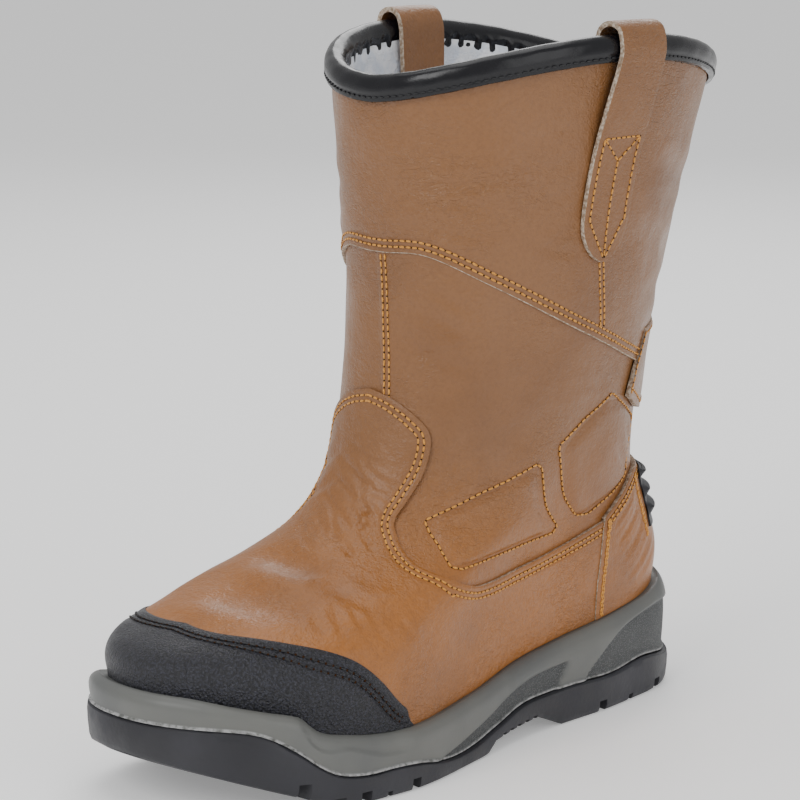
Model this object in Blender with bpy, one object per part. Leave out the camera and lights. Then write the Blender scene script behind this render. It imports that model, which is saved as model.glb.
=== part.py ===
"""Rigger boot: one left pull-on work boot, modelled as separate closed pieces.

Row frame: +Z up, the toe points to -Y, +X is the outer side of the foot. The boot stands on
z = 0. Shoe coordinates are used throughout: s in mm from the heel towards the toe, c in mm
sideways (+ outer), z in mm above the floor.
"""
import math

import bmesh
import bpy
import numpy as np

# Driving sizes, in mm.
SOLE_BACK = -7.0          # s of the rearmost point of the sole
SOLE_TOE = 291.0          # s of the foremost point of the sole
Y_ZERO = 135.05           # s that lands on y = 0
X_ZERO = 0.0              # c that lands on x = 0
HEEL_ROUND = 36.0         # length over which the heel end closes
TOE_ROUND_OUTER = 72.0    # length over which the outer side closes to the tip
TOE_ROUND_INNER = 36.0    # the same on the inner side, much blunter
TOE_SWING = 10.0          # how far the tip swings to the inner side
WALL_INSET = 8.3          # upper inside the sole outline, down in the midsole
SEAT = 6.0                # depth of the upper below the midsole lip
FLOOR = 7.3               # depth of the midsole floor below its lip
WALL = 2.0                # thickness of the upper
GAP = 0.35                # gap between mating pieces
SEAT_GAP = 0.5            # gap round the upper where it sits in the midsole
LAP_STEP = 1.4            # step where the leg panel laps the lower panels
OVERLAY_GAP = 0.6         # gap under a stitched overlay
RING_POINTS = 44          # points round a ring of the upper
SOLE_POINTS = 56          # points round a ring of the sole
LUG_DEPTH = 5.0           # depth of the tread grooves
STRAP_WIDTH = 26.0        # width of a pull loop
STRAP_THICK = 2.2

# Tables, in mm.
# Upper: one row per ring from the sole (u = 0) to the collar (u = 1).
RING_COLUMNS = ("u", "front_s", "front_z", "back_s", "back_z", "heel_w", "waist_w", "ball_w",
                "toe_w", "heel_zone", "toe_zone", "skew", "lift")
RING_ROWS = (
    (0.00, 283, 41, 2, 42, 29.0, 33.0, 47.0, 46.0, 32, 72, 1.0, 0),
    (0.08, 284, 51, 1, 53, 31.0, 35.0, 49.0, 47.0, 33, 72, 1.0, 0),
    (0.16, 276, 60, 4, 65, 32.0, 36.0, 49.0, 45.0, 35, 74, 1.0, 0),
    (0.25, 254, 67, 9, 79, 32.5, 37.0, 47.0, 41.0, 38, 78, 1.0, 1),
    (0.35, 220, 77, 15, 95, 33.5, 37.5, 42.5, 38.0, 44, 80, 0.9, 2),
    (0.45, 192, 90, 17, 109, 35.0, 39.0, 41.0, 38.0, 52, 80, 0.7, 1),
    (0.55, 172, 111, 15, 128, 38.0, 42.5, 44.0, 42.0, 62, 80, 0.5, 0),
    (0.65, 162, 142, 12, 152, 42.0, 47.0, 49.0, 48.0, 70, 76, 0.3, 0),
    (0.75, 159, 176, 7, 180, 47.0, 51.5, 53.0, 52.0, 75, 78, 0.1, 0),
    (0.85, 159, 210, 0, 210, 53.0, 56.0, 57.0, 56.0, 79, 80, 0.0, 6),
    (0.93, 160, 241, -9, 238, 57.5, 60.0, 60.5, 59.0, 83, 84, 0.0, 13),
    (1.00, 162, 272, -17, 264, 61.0, 63.0, 63.0, 61.0, 86, 88, 0.0, 19),
)
WIDTH_STATIONS = (0.1, 0.42, 0.72, 1.0)   # where heel, waist, ball and toe widths are taken
CENTRE_SWING = ((0, 0), (0.35, 2.5), (0.6, 3.5), (0.8, 1), (1, -8))       # t, c
LOW_RING_SAG = ((0, 0), (0.15, -6), (0.3, -11), (0.5, -20), (0.62, -23), (0.72, -23),
                (0.82, -17), (0.92, -7), (1, 0))                          # t, z

# Sole outline: s, inner width, outer width.
SOLE_OUTLINE = ((-6, 34, 34), (20, 34, 35), (60, 36, 40), (90, 36, 41), (120, 36, 43),
                (150, 41, 49), (190, 49, 57), (215, 51, 56), (240, 52, 54), (262, 53, 51),
                (290, 53, 50))
# Heights along the foot: s, z.
TREAD_LINE = ((-7, 0), (89, 0), (104, 6.8), (120, 5.6), (137.5, 4.2), (141, 0.6), (146, 0),
              (226, 0), (232, 1.2), (245, 5), (259, 10), (274, 15.5), (291, 22))
OUTSOLE_TOP = ((-7, 15), (5, 14), (30, 17), (55, 15), (83, 16), (98, 15.6),
               (112, 15), (120, 13.6), (130, 10.8), (140, 8.8), (150, 6.8), (160, 5.8),
               (170, 6), (180, 7.4), (192, 10), (204, 11), (219, 11), (232, 13), (240, 17), (250, 25), (259, 31), (268, 34), (291, 36))
MIDSOLE_LIP = ((-7, 50), (0, 48.5), (15, 45), (44, 41), (63, 39), (91, 36), (114, 33),
               (143, 28), (177, 25), (204, 25), (233, 29), (241, 32), (248, 38), (259, 41),
               (271, 44), (282, 47), (291, 48))
# Midsole side from the outsole (k = 0) to the lip (k = 1): k, how far outside the outline,
# how much of the recess it takes.
MIDSOLE_SIDE = ((0.0, -1.6, 0.0), (0.10, -0.8, 0.4), (0.40, -0.9, 1.0), (0.56, -0.8, 1.0),
                (0.62, 0.0, 0.0), (0.80, -1.0, 0.0), (0.94, -3.2, 0.0), (1.0, -5.0, 0.0))
RECESS = 1.3
# Outsole side from its top (k = 0) to the tread (k = 1): k, outside the outline.
OUTSOLE_SIDE = ((0.0, -0.6), (0.15, 0.4), (0.80, -0.2), (1.0, -1.6))

# Edges of the panels on the upper, on the outer side; phi in degrees from the toe (0) to the
# back (180). The inner side mirrors them.
LEG_EDGE = ((0, 0.838), (20, 0.835), (44, 0.799), (83, 0.729), (123, 0.657), (150, 0.635),
            (180, 0.630))                                                 # phi, u
CAP_EDGE = ((0.0, 0, 0.238), (0.15, 11, 0.229), (0.35, 28, 0.215), (0.52, 42, 0.198),
            (0.67, 52.5, 0.177), (0.82, 61, 0.145), (1.0, 67.5, 0.105))   # a, phi, u
CAP_FOOT = ((0.0, 0, 0.062), (0.35, 27, 0.062), (0.67, 53, 0.062), (1.0, 69.5, 0.062))
VAMP_EDGE = ((0.00, 0, 0.672), (0.08, 10, 0.664), (0.16, 21, 0.646), (0.23, 30, 0.620),
             (0.30, 32.5, 0.580), (0.38, 31.5, 0.527), (0.46, 31.5, 0.490),
             (0.54, 37, 0.455), (0.61, 44, 0.415), (0.68, 53, 0.365), (0.75, 64, 0.318),
             (0.81, 75, 0.278), (0.87, 84, 0.260), (0.93, 101, 0.262), (1.0, 123, 0.289))
VAMP_FOOT = ((0.00, 0, 0.243), (0.12, 11, 0.234), (0.26, 28, 0.220), (0.38, 42.3, 0.203),
             (0.48, 53.2, 0.182), (0.58, 62.2, 0.150), (0.66, 69.0, 0.106),
             (0.72, 71.6, 0.062), (0.86, 95, 0.062), (1.0, 123.5, 0.062))
COUNTER_EDGE = ((-1.0, 124.6, 0.292), (-0.85, 131, 0.345), (-0.65, 140, 0.390),
                (-0.35, 158, 0.402), (0.0, 180, 0.405), (0.35, 202, 0.402),
                (0.65, 220, 0.390), (0.85, 229, 0.345), (1.0, 235.4, 0.292))
KICK_SPAN = (146.0, 214.0)
KICK_ROWS = ((0.218, 0.0), (0.245, 0.0), (0.262, 3.2), (0.268, 3.2), (0.282, 0.0),
             (0.293, 0.0), (0.308, 3.2), (0.314, 3.2), (0.330, 0.0), (0.350, 0.0),
             (0.365, 3.2), (0.371, 3.2), (0.384, 0.0))                    # u, ridge
TAB_TOP = ((-1.0, 127, 0.703), (0.0, 180, 0.706), (1.0, 233, 0.703))
TAB_FOOT = ((-1.0, 119, 0.605), (-0.6, 140, 0.560), (0.0, 180, 0.550), (0.6, 220, 0.560),
            (1.0, 241, 0.605))
FRONT_PAD_TOP = ((0.0, 42.5, 0.485), (0.45, 58, 0.522), (1.0, 77.5, 0.549))
FRONT_PAD_FOOT = ((0.0, 65.5, 0.334), (0.5, 84, 0.322), (1.0, 104.5, 0.314))
REAR_PAD_TOP = ((0.0, 84, 0.568), (0.45, 107, 0.620), (1.0, 136, 0.550))
REAR_PAD_FOOT = ((0.0, 110, 0.340), (0.25, 116, 0.330), (1.0, 137.5, 0.405))

# Collar binding section: outward from the wall, up from its top edge.
BINDING_OUTSIDE = ((3.9, -4.6), (4.3, -0.6), (3.4, 3.2), (1.2, 5.0), (-1.6, 5.0), (-4.2, 2.8),
                   (-4.9, -1.2), (-4.4, -5.4))
BINDING_INSIDE = ((-2.9, -5.4), (-2.8, 1.4), (2.1, 0.8), (2.3, -4.6))
# Pull loop run: first up the leg, then over the collar, then down inside the leg.
LOOP_ON_LEG = ((0.812, 0.12, 2.0), (0.824, 0.55, 2.0), (0.845, 0.98, 2.0), (0.880, 1.0, 2.1),
               (0.915, 1.0, 2.5), (0.950, 1.0, 4.2))                      # u, width, outward
LOOP_OVER = ((6.0, -3.0), (6.2, 3.0), (4.8, 7.4), (1.8, 9.4), (-1.8, 9.4), (-5.2, 7.2),
             (-7.0, 2.6), (-7.2, -3.0))                                   # outward, up
LOOP_INSIDE = ((0.955, 7.9), (0.925, 6.0), (0.880, 5.4), (0.840, 5.4))    # u, inward
LOOP_PHI = ((0.812, 84.0), (0.87, 83.3), (0.93, 84.0), (1.0, 86.5))       # u, phi
LOOP_ACROSS = (1.0, 0.34, -0.34, -1.0)

# Tread grooves across the sole: s, width, slant in degrees.
CROSS_GROOVES = ((24, 5, 6), (42, 3.6, 0), (59, 5, -6), (187, 4.5, -8), (217, 5, -4),
                 (247, 4.5, 0))
RIB_GROOVES = (108.5, 114, 119.5, 125, 130.5)
RIB_DEPTH = 1.8           # depth of the grooves between the arch ribs

# Colours: red, green, blue, roughness.
COLOURS = {
    "leather_tan": (0.36, 0.165, 0.062, 0.55),
    "leather_black": (0.018, 0.018, 0.022, 0.5),
    "binding_black": (0.012, 0.012, 0.014, 0.3),
    "midsole_grey": (0.125, 0.13, 0.12, 0.6),
    "rubber_black": (0.022, 0.022, 0.027, 0.65),
    "footbed_grey": (0.30, 0.31, 0.33, 0.85),
}


def table(rows, x, column=1):
    """Smooth curve through the rows of a table, read at x."""
    a = np.array(rows, float)
    return curve_through(a[:, 0], list(a[:, column]), x)


def curve_through(xs, values, x):
    """Cubic through values given at xs, with the slopes of the neighbours."""
    xs = np.asarray(xs, float)
    x = np.clip(np.asarray(x, float), xs[0], xs[-1])
    last = len(xs) - 1
    slopes = []
    for i in range(last + 1):
        lo, hi = max(i - 1, 0), min(i + 1, last)
        slopes.append((values[hi] - values[lo]) / (xs[hi] - xs[lo]))
    out = np.zeros(np.broadcast(x, *values).shape)
    for i in range(last):
        h = xs[i + 1] - xs[i]
        q = (x - xs[i]) / h
        v = ((2 * q ** 3 - 3 * q ** 2 + 1) * values[i] + (q ** 3 - 2 * q ** 2 + q) * h * slopes[i]
             + (3 * q ** 2 - 2 * q ** 3) * values[i + 1] + (q ** 3 - q ** 2) * h * slopes[i + 1])
        out = np.where((x >= xs[i]) & (x <= xs[i + 1]), v, out)
    return out


def line_through(rows, x, column=1):
    """Straight runs between the rows of a table."""
    a = np.array(rows, float)
    return np.interp(x, a[:, 0], a[:, column])


def ring_column(name, u):
    """One column of the ring table at u."""
    return table(RING_ROWS, u, RING_COLUMNS.index(name))


def smooth(x):
    x = np.clip(x, 0, 1)
    return x * x * (3 - 2 * x)


def closing(q, power):
    """0 at the end of a ring, 1 once the end has closed, with a round nose."""
    q = np.clip(q, 0, 1)
    return (1 - (1 - q) ** power) ** (1 / power)


def sole_ring(phi, grow=0.0):
    """s and c of the sole outline at ring angle phi, grown outwards by grow."""
    t = (1 + np.cos(phi)) / 2
    back, toe = SOLE_BACK - grow, SOLE_TOE + grow
    s = back + (toe - back) * t
    outer = np.sin(phi) > 0
    swing = TOE_SWING * np.clip((s - 200) / 90, 0, 1) ** 2
    inner_w = table(SOLE_OUTLINE, s, 1) + grow - swing
    outer_w = table(SOLE_OUTLINE, s, 2) + grow + swing / 2
    nose = np.where(outer, closing((toe - s) / TOE_ROUND_OUTER, 2.1),
                    closing((toe - s) / TOE_ROUND_INNER, 2.2))
    end = closing((s - back) / HEEL_ROUND, 2.1) * nose
    side = np.where(np.abs(np.sin(phi)) < 1e-9, 0.0, np.where(outer, outer_w, -inner_w))
    return s, -swing + side * end


def upper_point(u, phi):
    """Outside of the upper in shoe coordinates: u from sole to collar, phi round the ring."""
    u, phi = np.broadcast_arrays(np.asarray(u, float), np.asarray(phi, float))
    t = (1 + np.cos(phi)) / 2
    back, front = ring_column("back_s", u), ring_column("front_s", u)
    s = back + (front - back) * t
    widths = [ring_column(k, u) for k in ("heel_w", "waist_w", "ball_w", "toe_w")]
    w = curve_through(WIDTH_STATIONS, widths, t)
    skew = ring_column("skew", u)
    side = np.sign(np.round(np.sin(phi), 9))
    zone = ring_column("toe_zone", u) * np.where(side > 0, 1, 1 - 0.5 * skew)
    half = (front - back) / 2
    end = (closing((s - back) / np.minimum(ring_column("heel_zone", u), half), 2.1)
           * closing((front - s) / np.minimum(zone, np.maximum(half, zone * skew)), 2.2))
    c = skew * table(CENTRE_SWING, t) + side * w * end
    z = ring_column("back_z", u) + (ring_column("front_z", u) - ring_column("back_z", u)) * t
    z = z + ring_column("lift", u) * np.abs(np.sin(phi)) ** 1.6
    z = z + 0.9 * np.clip(1 - u / 0.3, 0, 1) ** 1.2 * table(LOW_RING_SAG, t)
    low_s, low_c = sole_ring(phi, -WALL_INSET)
    low_z = table(MIDSOLE_LIP, low_s) - SEAT + 110 * u
    k = smooth((u - 0.06) / 0.14)
    return np.stack([low_s + (s - low_s) * k, low_c + (c - low_c) * k,
                     low_z + (z - low_z) * k], -1)


def upper_normal(u, phi):
    """Outward unit normal of the upper."""
    u, phi = np.broadcast_arrays(np.asarray(u, float), np.asarray(phi, float))
    du, dp = 0.004, math.radians(1.5)
    a = upper_point(np.clip(u + du, 0, 1), phi) - upper_point(np.clip(u - du, 0, 1), phi)
    b = upper_point(u, phi + dp) - upper_point(u, phi - dp)
    n = np.cross(b, a)
    return n / np.linalg.norm(n, axis=-1, keepdims=True)


def wall(u, phi, out=0.0):
    """Upper surface moved outwards by out."""
    return upper_point(u, phi) + upper_normal(u, phi) * np.asarray(out, float)[..., None]


def collar_frame(phi):
    """Top edge points with the outward and the up direction used by the binding and loops."""
    edge = upper_point(1.0, phi)
    n = upper_normal(1.0, phi)
    n[..., 2] = 0
    n = n / np.linalg.norm(n, axis=-1, keepdims=True)
    up = edge - upper_point(0.985, phi)
    up = up / np.linalg.norm(up, axis=-1, keepdims=True)
    return edge, n, up


def to_world(p):
    """Shoe coordinates in mm to the row frame in metres."""
    p = np.asarray(p, float)
    return np.stack([p[..., 1] - X_ZERO, Y_ZERO - p[..., 0], p[..., 2]], -1) / 1000.0


def make_object(name, points, faces, material):
    """Object from shoe-coordinate points; the faces are turned outwards."""
    mesh = bpy.data.meshes.new(name)
    mesh.from_pydata([tuple(p) for p in to_world(np.asarray(points))], [], faces)
    work = bmesh.new()
    work.from_mesh(mesh)
    bmesh.ops.remove_doubles(work, verts=work.verts, dist=0.00005)
    bmesh.ops.triangulate(work, faces=work.faces)
    bmesh.ops.recalc_face_normals(work, faces=work.faces)
    work.to_mesh(mesh)
    work.free()
    for polygon in mesh.polygons:
        polygon.use_smooth = True
    mesh.set_sharp_from_angle(angle=math.radians(40))
    mesh.materials.append(material)
    obj = bpy.data.objects.new(name, mesh)
    boot.objects.link(obj)
    return obj


def wrapped_loft(rows):
    """Closed rings joined to each other and back to the first: a tube bent into a ring."""
    count, size = len(rows), len(rows[0])
    faces = []
    for r in range(count):
        for i in range(size):
            j, q = (i + 1) % size, (r + 1) % count
            faces.append((r * size + i, r * size + j, q * size + j, q * size + i))
    return np.concatenate(rows), faces


def capped_loft(rows):
    """Closed rings joined in a stack; both ends closed by rungs from side to side."""
    count, size = len(rows), len(rows[0])
    faces = []
    for r in range(count - 1):
        for i in range(size):
            j = (i + 1) % size
            faces.append((r * size + i, r * size + j, (r + 1) * size + j, (r + 1) * size + i))
    for base in (0, (count - 1) * size):
        faces.append((base, base + 1, base + size - 1))
        for i in range(1, size // 2 - 1):
            faces.append((base + i, base + i + 1, base + size - i - 1, base + size - i))
        mid = size // 2
        faces.append((base + mid - 1, base + mid, base + mid + 1))
    return np.concatenate(rows), faces


def slab(outside, inside):
    """Closed plate between two grids of points of the same size."""
    m, n = outside.shape[:2]
    points = np.concatenate([outside.reshape(-1, 3), inside.reshape(-1, 3)])
    far = m * n
    faces = []
    for i in range(m - 1):
        for j in range(n - 1):
            a, b, c, d = i * n + j, i * n + j + 1, (i + 1) * n + j + 1, (i + 1) * n + j
            faces.append((a, b, c, d))
            faces.append((far + d, far + c, far + b, far + a))
    border = [j for j in range(n)] + [i * n + n - 1 for i in range(1, m)]
    border += [(m - 1) * n + j for j in range(n - 2, -1, -1)] + [i * n for i in range(m - 2, 0, -1)]
    for k, a in enumerate(border):
        b = border[(k + 1) % len(border)]
        faces.append((a, b, far + b, far + a))
    return points, faces


def panel_grid(foot, top, a_values, rows):
    """u and phi over a panel whose foot and top edge are tables of a, phi, u."""
    a = np.asarray(a_values, float)
    side = np.where(a < 0, -1.0, 1.0)
    mirrored = min(r[0] for r in top) >= 0 and a.min() < 0
    key = np.abs(a) if mirrored else a
    flip = side if mirrored else 1.0
    phi0, u0 = table(foot, key, 1) * flip, table(foot, key, 2)
    phi1, u1 = table(top, key, 1) * flip, table(top, key, 2)
    b = (np.linspace(0, 1, rows) if np.ndim(rows) == 0 else np.array(rows, float))[:, None]
    return u0 + (u1 - u0) * b, np.radians(phi0 + (phi1 - phi0) * b)


def overlay(name, foot, top, a_values, rows, thick, material, base=OVERLAY_GAP, mirror=False):
    """Stitched leather piece lying on the upper."""
    u, phi = panel_grid(foot, top, a_values, rows)
    if mirror:
        phi = -phi
    edge = np.ones(u.shape)
    edge[0, :] = edge[-1, :] = 0.75
    edge[:, 0] = edge[:, -1] = 0.75
    points, faces = slab(wall(u, phi, base + thick * edge), wall(u, phi, np.full(u.shape, base)))
    return make_object(name, points, faces, material)


def sole_angles():
    """Ring angles of the sole, with exact stations where the heel breast falls."""
    regular = [2 * math.pi * i / SOLE_POINTS for i in range(SOLE_POINTS // 2 + 1)]
    stations = []
    for s in (89.0, 104.0, 137.5, 141.0, 226.0, 240.0):
        stations.append(math.acos(2 * (s - SOLE_BACK) / (SOLE_TOE - SOLE_BACK) - 1))
    kept = [p for p in regular if min(abs(p - q) for q in stations) > 0.035]
    half = sorted(kept + stations)
    return np.array(half + [2 * math.pi - p for p in reversed(half[1:-1])])


def sole_row(phi, grow, height):
    """Ring of the sole outline grown by grow, with its height read along the foot."""
    s, c = sole_ring(phi, grow)
    return np.stack([s, c, height(s)], -1)


def build_outsole():
    phi = sole_angles()
    top = lambda s: table(OUTSOLE_TOP, s)
    tread = lambda s: line_through(TREAD_LINE, s)
    nominal = SOLE_BACK + (SOLE_TOE - SOLE_BACK) * (1 + np.cos(phi)) / 2
    rows = []
    for k, grow in OUTSOLE_SIDE:
        s, c = sole_ring(phi, grow)
        rows.append(np.stack([s, c, top(nominal) + (tread(nominal) - top(nominal)) * k], -1))
    points, faces = capped_loft(rows)
    body = make_object("outsole", points, faces, materials["rubber_black"])
    for index, (s, width, slant) in enumerate(CROSS_GROOVES):
        lift = float(line_through(TREAD_LINE, s))
        cut_box(body, "cross_groove_%d" % index, (s, 0, lift - 6 + LUG_DEPTH), (width, 150, 12),
                slant)
    for index, s in enumerate(RIB_GROOVES):
        lift = float(line_through(TREAD_LINE, s))
        cut_box(body, "rib_groove_%d" % index, (s, 0, lift - 4 + RIB_DEPTH), (2.7, 150, 8), 0)
    for index, (s, length, c) in enumerate(((40, 62, -13), (40, 62, 13), (199, 62, -19),
                                            (199, 62, 19))):
        cut_box(body, "long_groove_%d" % index, (s, c, LUG_DEPTH - 6.8), (length, 5, 12), 0)
    return body


def cut_box(body, name, centre, size, slant):
    """Take a box-shaped groove out of a body."""
    bpy.ops.mesh.primitive_cube_add(size=1, location=tuple(to_world(np.array(centre, float))))
    cutter = bpy.context.object
    cutter.name = name
    cutter.scale = (size[1] / 1000, size[0] / 1000, size[2] / 1000)
    cutter.rotation_euler = (0, 0, math.radians(slant))
    for owner in list(cutter.users_collection):
        owner.objects.unlink(cutter)
    cutters.objects.link(cutter)
    cutter.hide_render = True
    cutter.display_type = "WIRE"
    modifier = body.modifiers.new(name, "BOOLEAN")
    modifier.operation = "DIFFERENCE"
    modifier.solver = "EXACT"
    modifier.object = cutter


def recess_share(s, k):
    """Where the side of the midsole is recessed: not at the toe and not on the heel rib."""
    fore = smooth((s - 20) / 14) * (1 - smooth((s - 214) / 16))
    rib = np.exp(-((s - (60 + 22 * (k - 0.3))) / 8.0) ** 4)
    return fore * (1 - rib)


def build_midsole():
    phi = sole_angles()
    low = lambda s: table(OUTSOLE_TOP, s) + GAP
    lip = lambda s: table(MIDSOLE_LIP, s)
    floor = lambda s: lip(s) - FLOOR
    nominal = SOLE_BACK + (SOLE_TOE - SOLE_BACK) * (1 + np.cos(phi)) / 2
    rows = []
    for k, grow, share in MIDSOLE_SIDE:
        inset = grow - RECESS * share * recess_share(nominal, k)
        s, c = sole_ring(phi, inset)
        base, crest = low(nominal), lip(nominal)
        if k == 1.0:
            crest = lip(s)
        rows.append(np.stack([s, c, base + (crest - base) * k], -1))
    inner = -WALL_INSET + SEAT_GAP
    rows.append(sole_row(phi, inner, lip))
    rows.append(sole_row(phi, inner, floor))
    points, faces = capped_loft(rows)
    return make_object("midsole", points, faces, materials["midsole_grey"])


def build_insole():
    phi = sole_angles()
    base = lambda s: table(MIDSOLE_LIP, s) - FLOOR + GAP
    inset = -(WALL_INSET + WALL + SEAT_GAP + 0.2)
    rows = [sole_row(phi, inset, base), sole_row(phi, inset, lambda s: base(s) + 4.2),
            sole_row(phi, inset - 1.2, lambda s: base(s) + 5.0)]
    points, faces = capped_loft(rows)
    return make_object("insole", points, faces, materials["footbed_grey"])


def build_upper():
    phi = np.linspace(0, 2 * math.pi, RING_POINTS, endpoint=False)
    turn = np.degrees(np.minimum(phi, 2 * math.pi - phi))
    lap = table(LEG_EDGE, turn)
    below = (0, 0.04, 0.08, 0.115, 0.155, 0.20, 0.245, 0.29, 0.335, 0.385, 0.44, 0.50, 0.555,
             0.605, 0.655, 0.705, 0.76, 0.83, 0.91, 1.0)
    above = (0.0, 0.2, 0.42, 0.64, 0.84, 1.0)
    inside = (1.0, 0.92, 0.83, 0.74, 0.66, 0.59, 0.52, 0.45, 0.38, 0.31, 0.25, 0.19,
              0.14, 0.09, 0.0)
    rows = [wall(lap * f, phi) for f in below]
    rows += [wall(lap + 0.004 + (1 - lap - 0.004) * f, phi, LAP_STEP) for f in above]
    rows += [wall(np.full(phi.shape, u), phi, -WALL) for u in inside]
    points, faces = wrapped_loft(rows)
    return make_object("upper", points, faces, materials["leather_tan"])


def build_binding():
    phi = np.linspace(0, 2 * math.pi, RING_POINTS, endpoint=False)
    edge, out, up = collar_frame(phi)
    rows = [edge + out * o + up * h for o, h in BINDING_OUTSIDE + BINDING_INSIDE]
    points, faces = wrapped_loft(rows)
    return make_object("collar_binding", points, faces, materials["binding_black"])


def build_loop(name, side):
    """Strap sewn on the leg, over the collar and down inside."""
    stations = []
    half = STRAP_WIDTH / 2
    for u, factor, low in LOOP_ON_LEG:
        phi = math.radians(float(table(LOOP_PHI, u)))
        quad = [strap_point(u, phi, side, a * half * factor, low + STRAP_THICK)
                for a in LOOP_ACROSS]
        quad += [strap_point(u, phi, side, a * half * factor, low) for a in LOOP_ACROSS[::-1]]
        stations.append(quad)
    path = LOOP_OVER
    for i, (o, h) in enumerate(path):
        before, after = path[max(i - 1, 0)], path[min(i + 1, len(path) - 1)]
        run = np.array([after[0] - before[0], after[1] - before[1]], float)
        run = run / np.linalg.norm(run) * STRAP_THICK / 2
        quad = []
        for turn, across in ((1, LOOP_ACROSS), (-1, LOOP_ACROSS[::-1])):
            quad += [collar_point(math.radians(86.5), side, a * half, o + run[1] * turn,
                                  h - run[0] * turn) for a in across]
        stations.append(quad)
    for u, low in LOOP_INSIDE:
        phi = math.radians(86.5)
        quad = [strap_point(u, phi, side, a * half, -low) for a in LOOP_ACROSS]
        quad += [strap_point(u, phi, side, a * half, STRAP_THICK - low)
                 for a in LOOP_ACROSS[::-1]]
        stations.append(quad)
    size = len(stations[0])
    points = np.array(stations).reshape(-1, 3)
    faces = []
    for r in range(len(stations) - 1):
        for i in range(size):
            j = (i + 1) % size
            faces.append((r * size + i, r * size + j, (r + 1) * size + j, (r + 1) * size + i))
    for base in (0, (len(stations) - 1) * size):
        for i in range(size // 2 - 1):
            faces.append((base + i, base + i + 1, base + size - i - 2, base + size - i - 1))
    return make_object(name, points, faces, materials["leather_tan"])


def strap_point(u, phi, side, along, out):
    """Point beside the centre line of a strap on the leg; along is measured along the foot."""
    here = upper_point(u, phi)
    there = upper_point(u, phi + 0.02)
    turn = along / np.linalg.norm(there - here) * 0.02
    return wall(u, side * (phi - turn), out)


def collar_point(phi, side, along, out, up_by):
    """Point over the collar, on the straight rail of a strap."""
    here, there = upper_point(1.0, phi), upper_point(1.0, phi + 0.02)
    turn = along / np.linalg.norm(there - here) * 0.02
    edge = upper_point(1.0, side * (phi - turn))
    middle, outward, _ = collar_frame(side * phi)
    point = np.array([edge[0], edge[1], (edge[2] + middle[2]) / 2])
    return point + outward * out + np.array([0, 0, up_by])


def build_kick_strip():
    phi = np.radians(np.linspace(KICK_SPAN[0], KICK_SPAN[1], 9))
    u = np.array([r[0] for r in KICK_ROWS])[:, None] + 0 * phi
    ridge = np.array([r[1] for r in KICK_ROWS])[:, None] + 0 * phi
    fade = np.ones(phi.shape)
    fade[0] = fade[-1] = 0.0
    phi = phi + 0 * u
    base = OVERLAY_GAP + 1.6 + 0.45
    points, faces = slab(wall(u, phi, base + 1.6 + ridge * fade), wall(u, phi, base + 0 * u))
    return make_object("kick_strip", points, faces, materials["rubber_black"])


def build():
    build_outsole()
    build_midsole()
    build_insole()
    build_upper()
    tan, black = materials["leather_tan"], materials["leather_black"]
    overlay("toe_cap", CAP_FOOT, CAP_EDGE, np.linspace(-1, 1, 21), 7, 2.1, black, base=0.9)
    overlay("vamp", VAMP_FOOT, VAMP_EDGE, np.linspace(-1, 1, 33),
            (0, 0.16, 0.32, 0.46, 0.58, 0.69, 0.78, 0.86, 0.93, 1), 1.5, tan, base=1.25)
    overlay("heel_counter", ((-1, 124.6, 0.062), (0, 180, 0.062), (1, 235.4, 0.062)),
            COUNTER_EDGE, np.linspace(-1, 1, 23), 8, 1.6, tan)
    overlay("back_tab", TAB_FOOT, TAB_TOP, np.linspace(-1, 1, 11), 5, 1.6, tan,
            base=LAP_STEP + OVERLAY_GAP)
    for side, mirror in (("outer", False), ("inner", True)):
        overlay("ankle_pad_front_" + side, FRONT_PAD_FOOT, FRONT_PAD_TOP, np.linspace(0, 1, 8),
                6, 1.6, tan, mirror=mirror)
        overlay("ankle_pad_rear_" + side, REAR_PAD_FOOT, REAR_PAD_TOP, np.linspace(0, 1, 7),
                6, 1.6, tan, mirror=mirror)
    build_binding()
    build_kick_strip()
    build_loop("pull_loop_outer", 1)
    build_loop("pull_loop_inner", -1)


def new_material(name):
    red, green, blue, rough = COLOURS[name]
    material = bpy.data.materials.new(name)
    material.use_nodes = True
    shader = material.node_tree.nodes["Principled BSDF"]
    shader.inputs["Base Color"].default_value = (red, green, blue, 1)
    shader.inputs["Roughness"].default_value = rough
    return material


for old in list(bpy.data.objects):
    bpy.data.objects.remove(old, do_unlink=True)
boot = bpy.data.collections.new("rigger_boot")
cutters = bpy.data.collections.new("cutters")
bpy.context.scene.collection.children.link(boot)
bpy.context.scene.collection.children.link(cutters)
materials = {name: new_material(name) for name in COLOURS}
build()
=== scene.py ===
"""Looks of the rigger boot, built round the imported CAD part.

Shoe coordinates as in the part: s in mm from the heel towards the toe, c in mm sideways
(+ outer), z in mm above the floor. On the upper, u runs from the sole (0) to the collar (1)
and phi from the toe (0) round the outer side (+) to the back (180 degrees).
"""
import math

import bpy
import numpy as np
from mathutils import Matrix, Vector, noise


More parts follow.
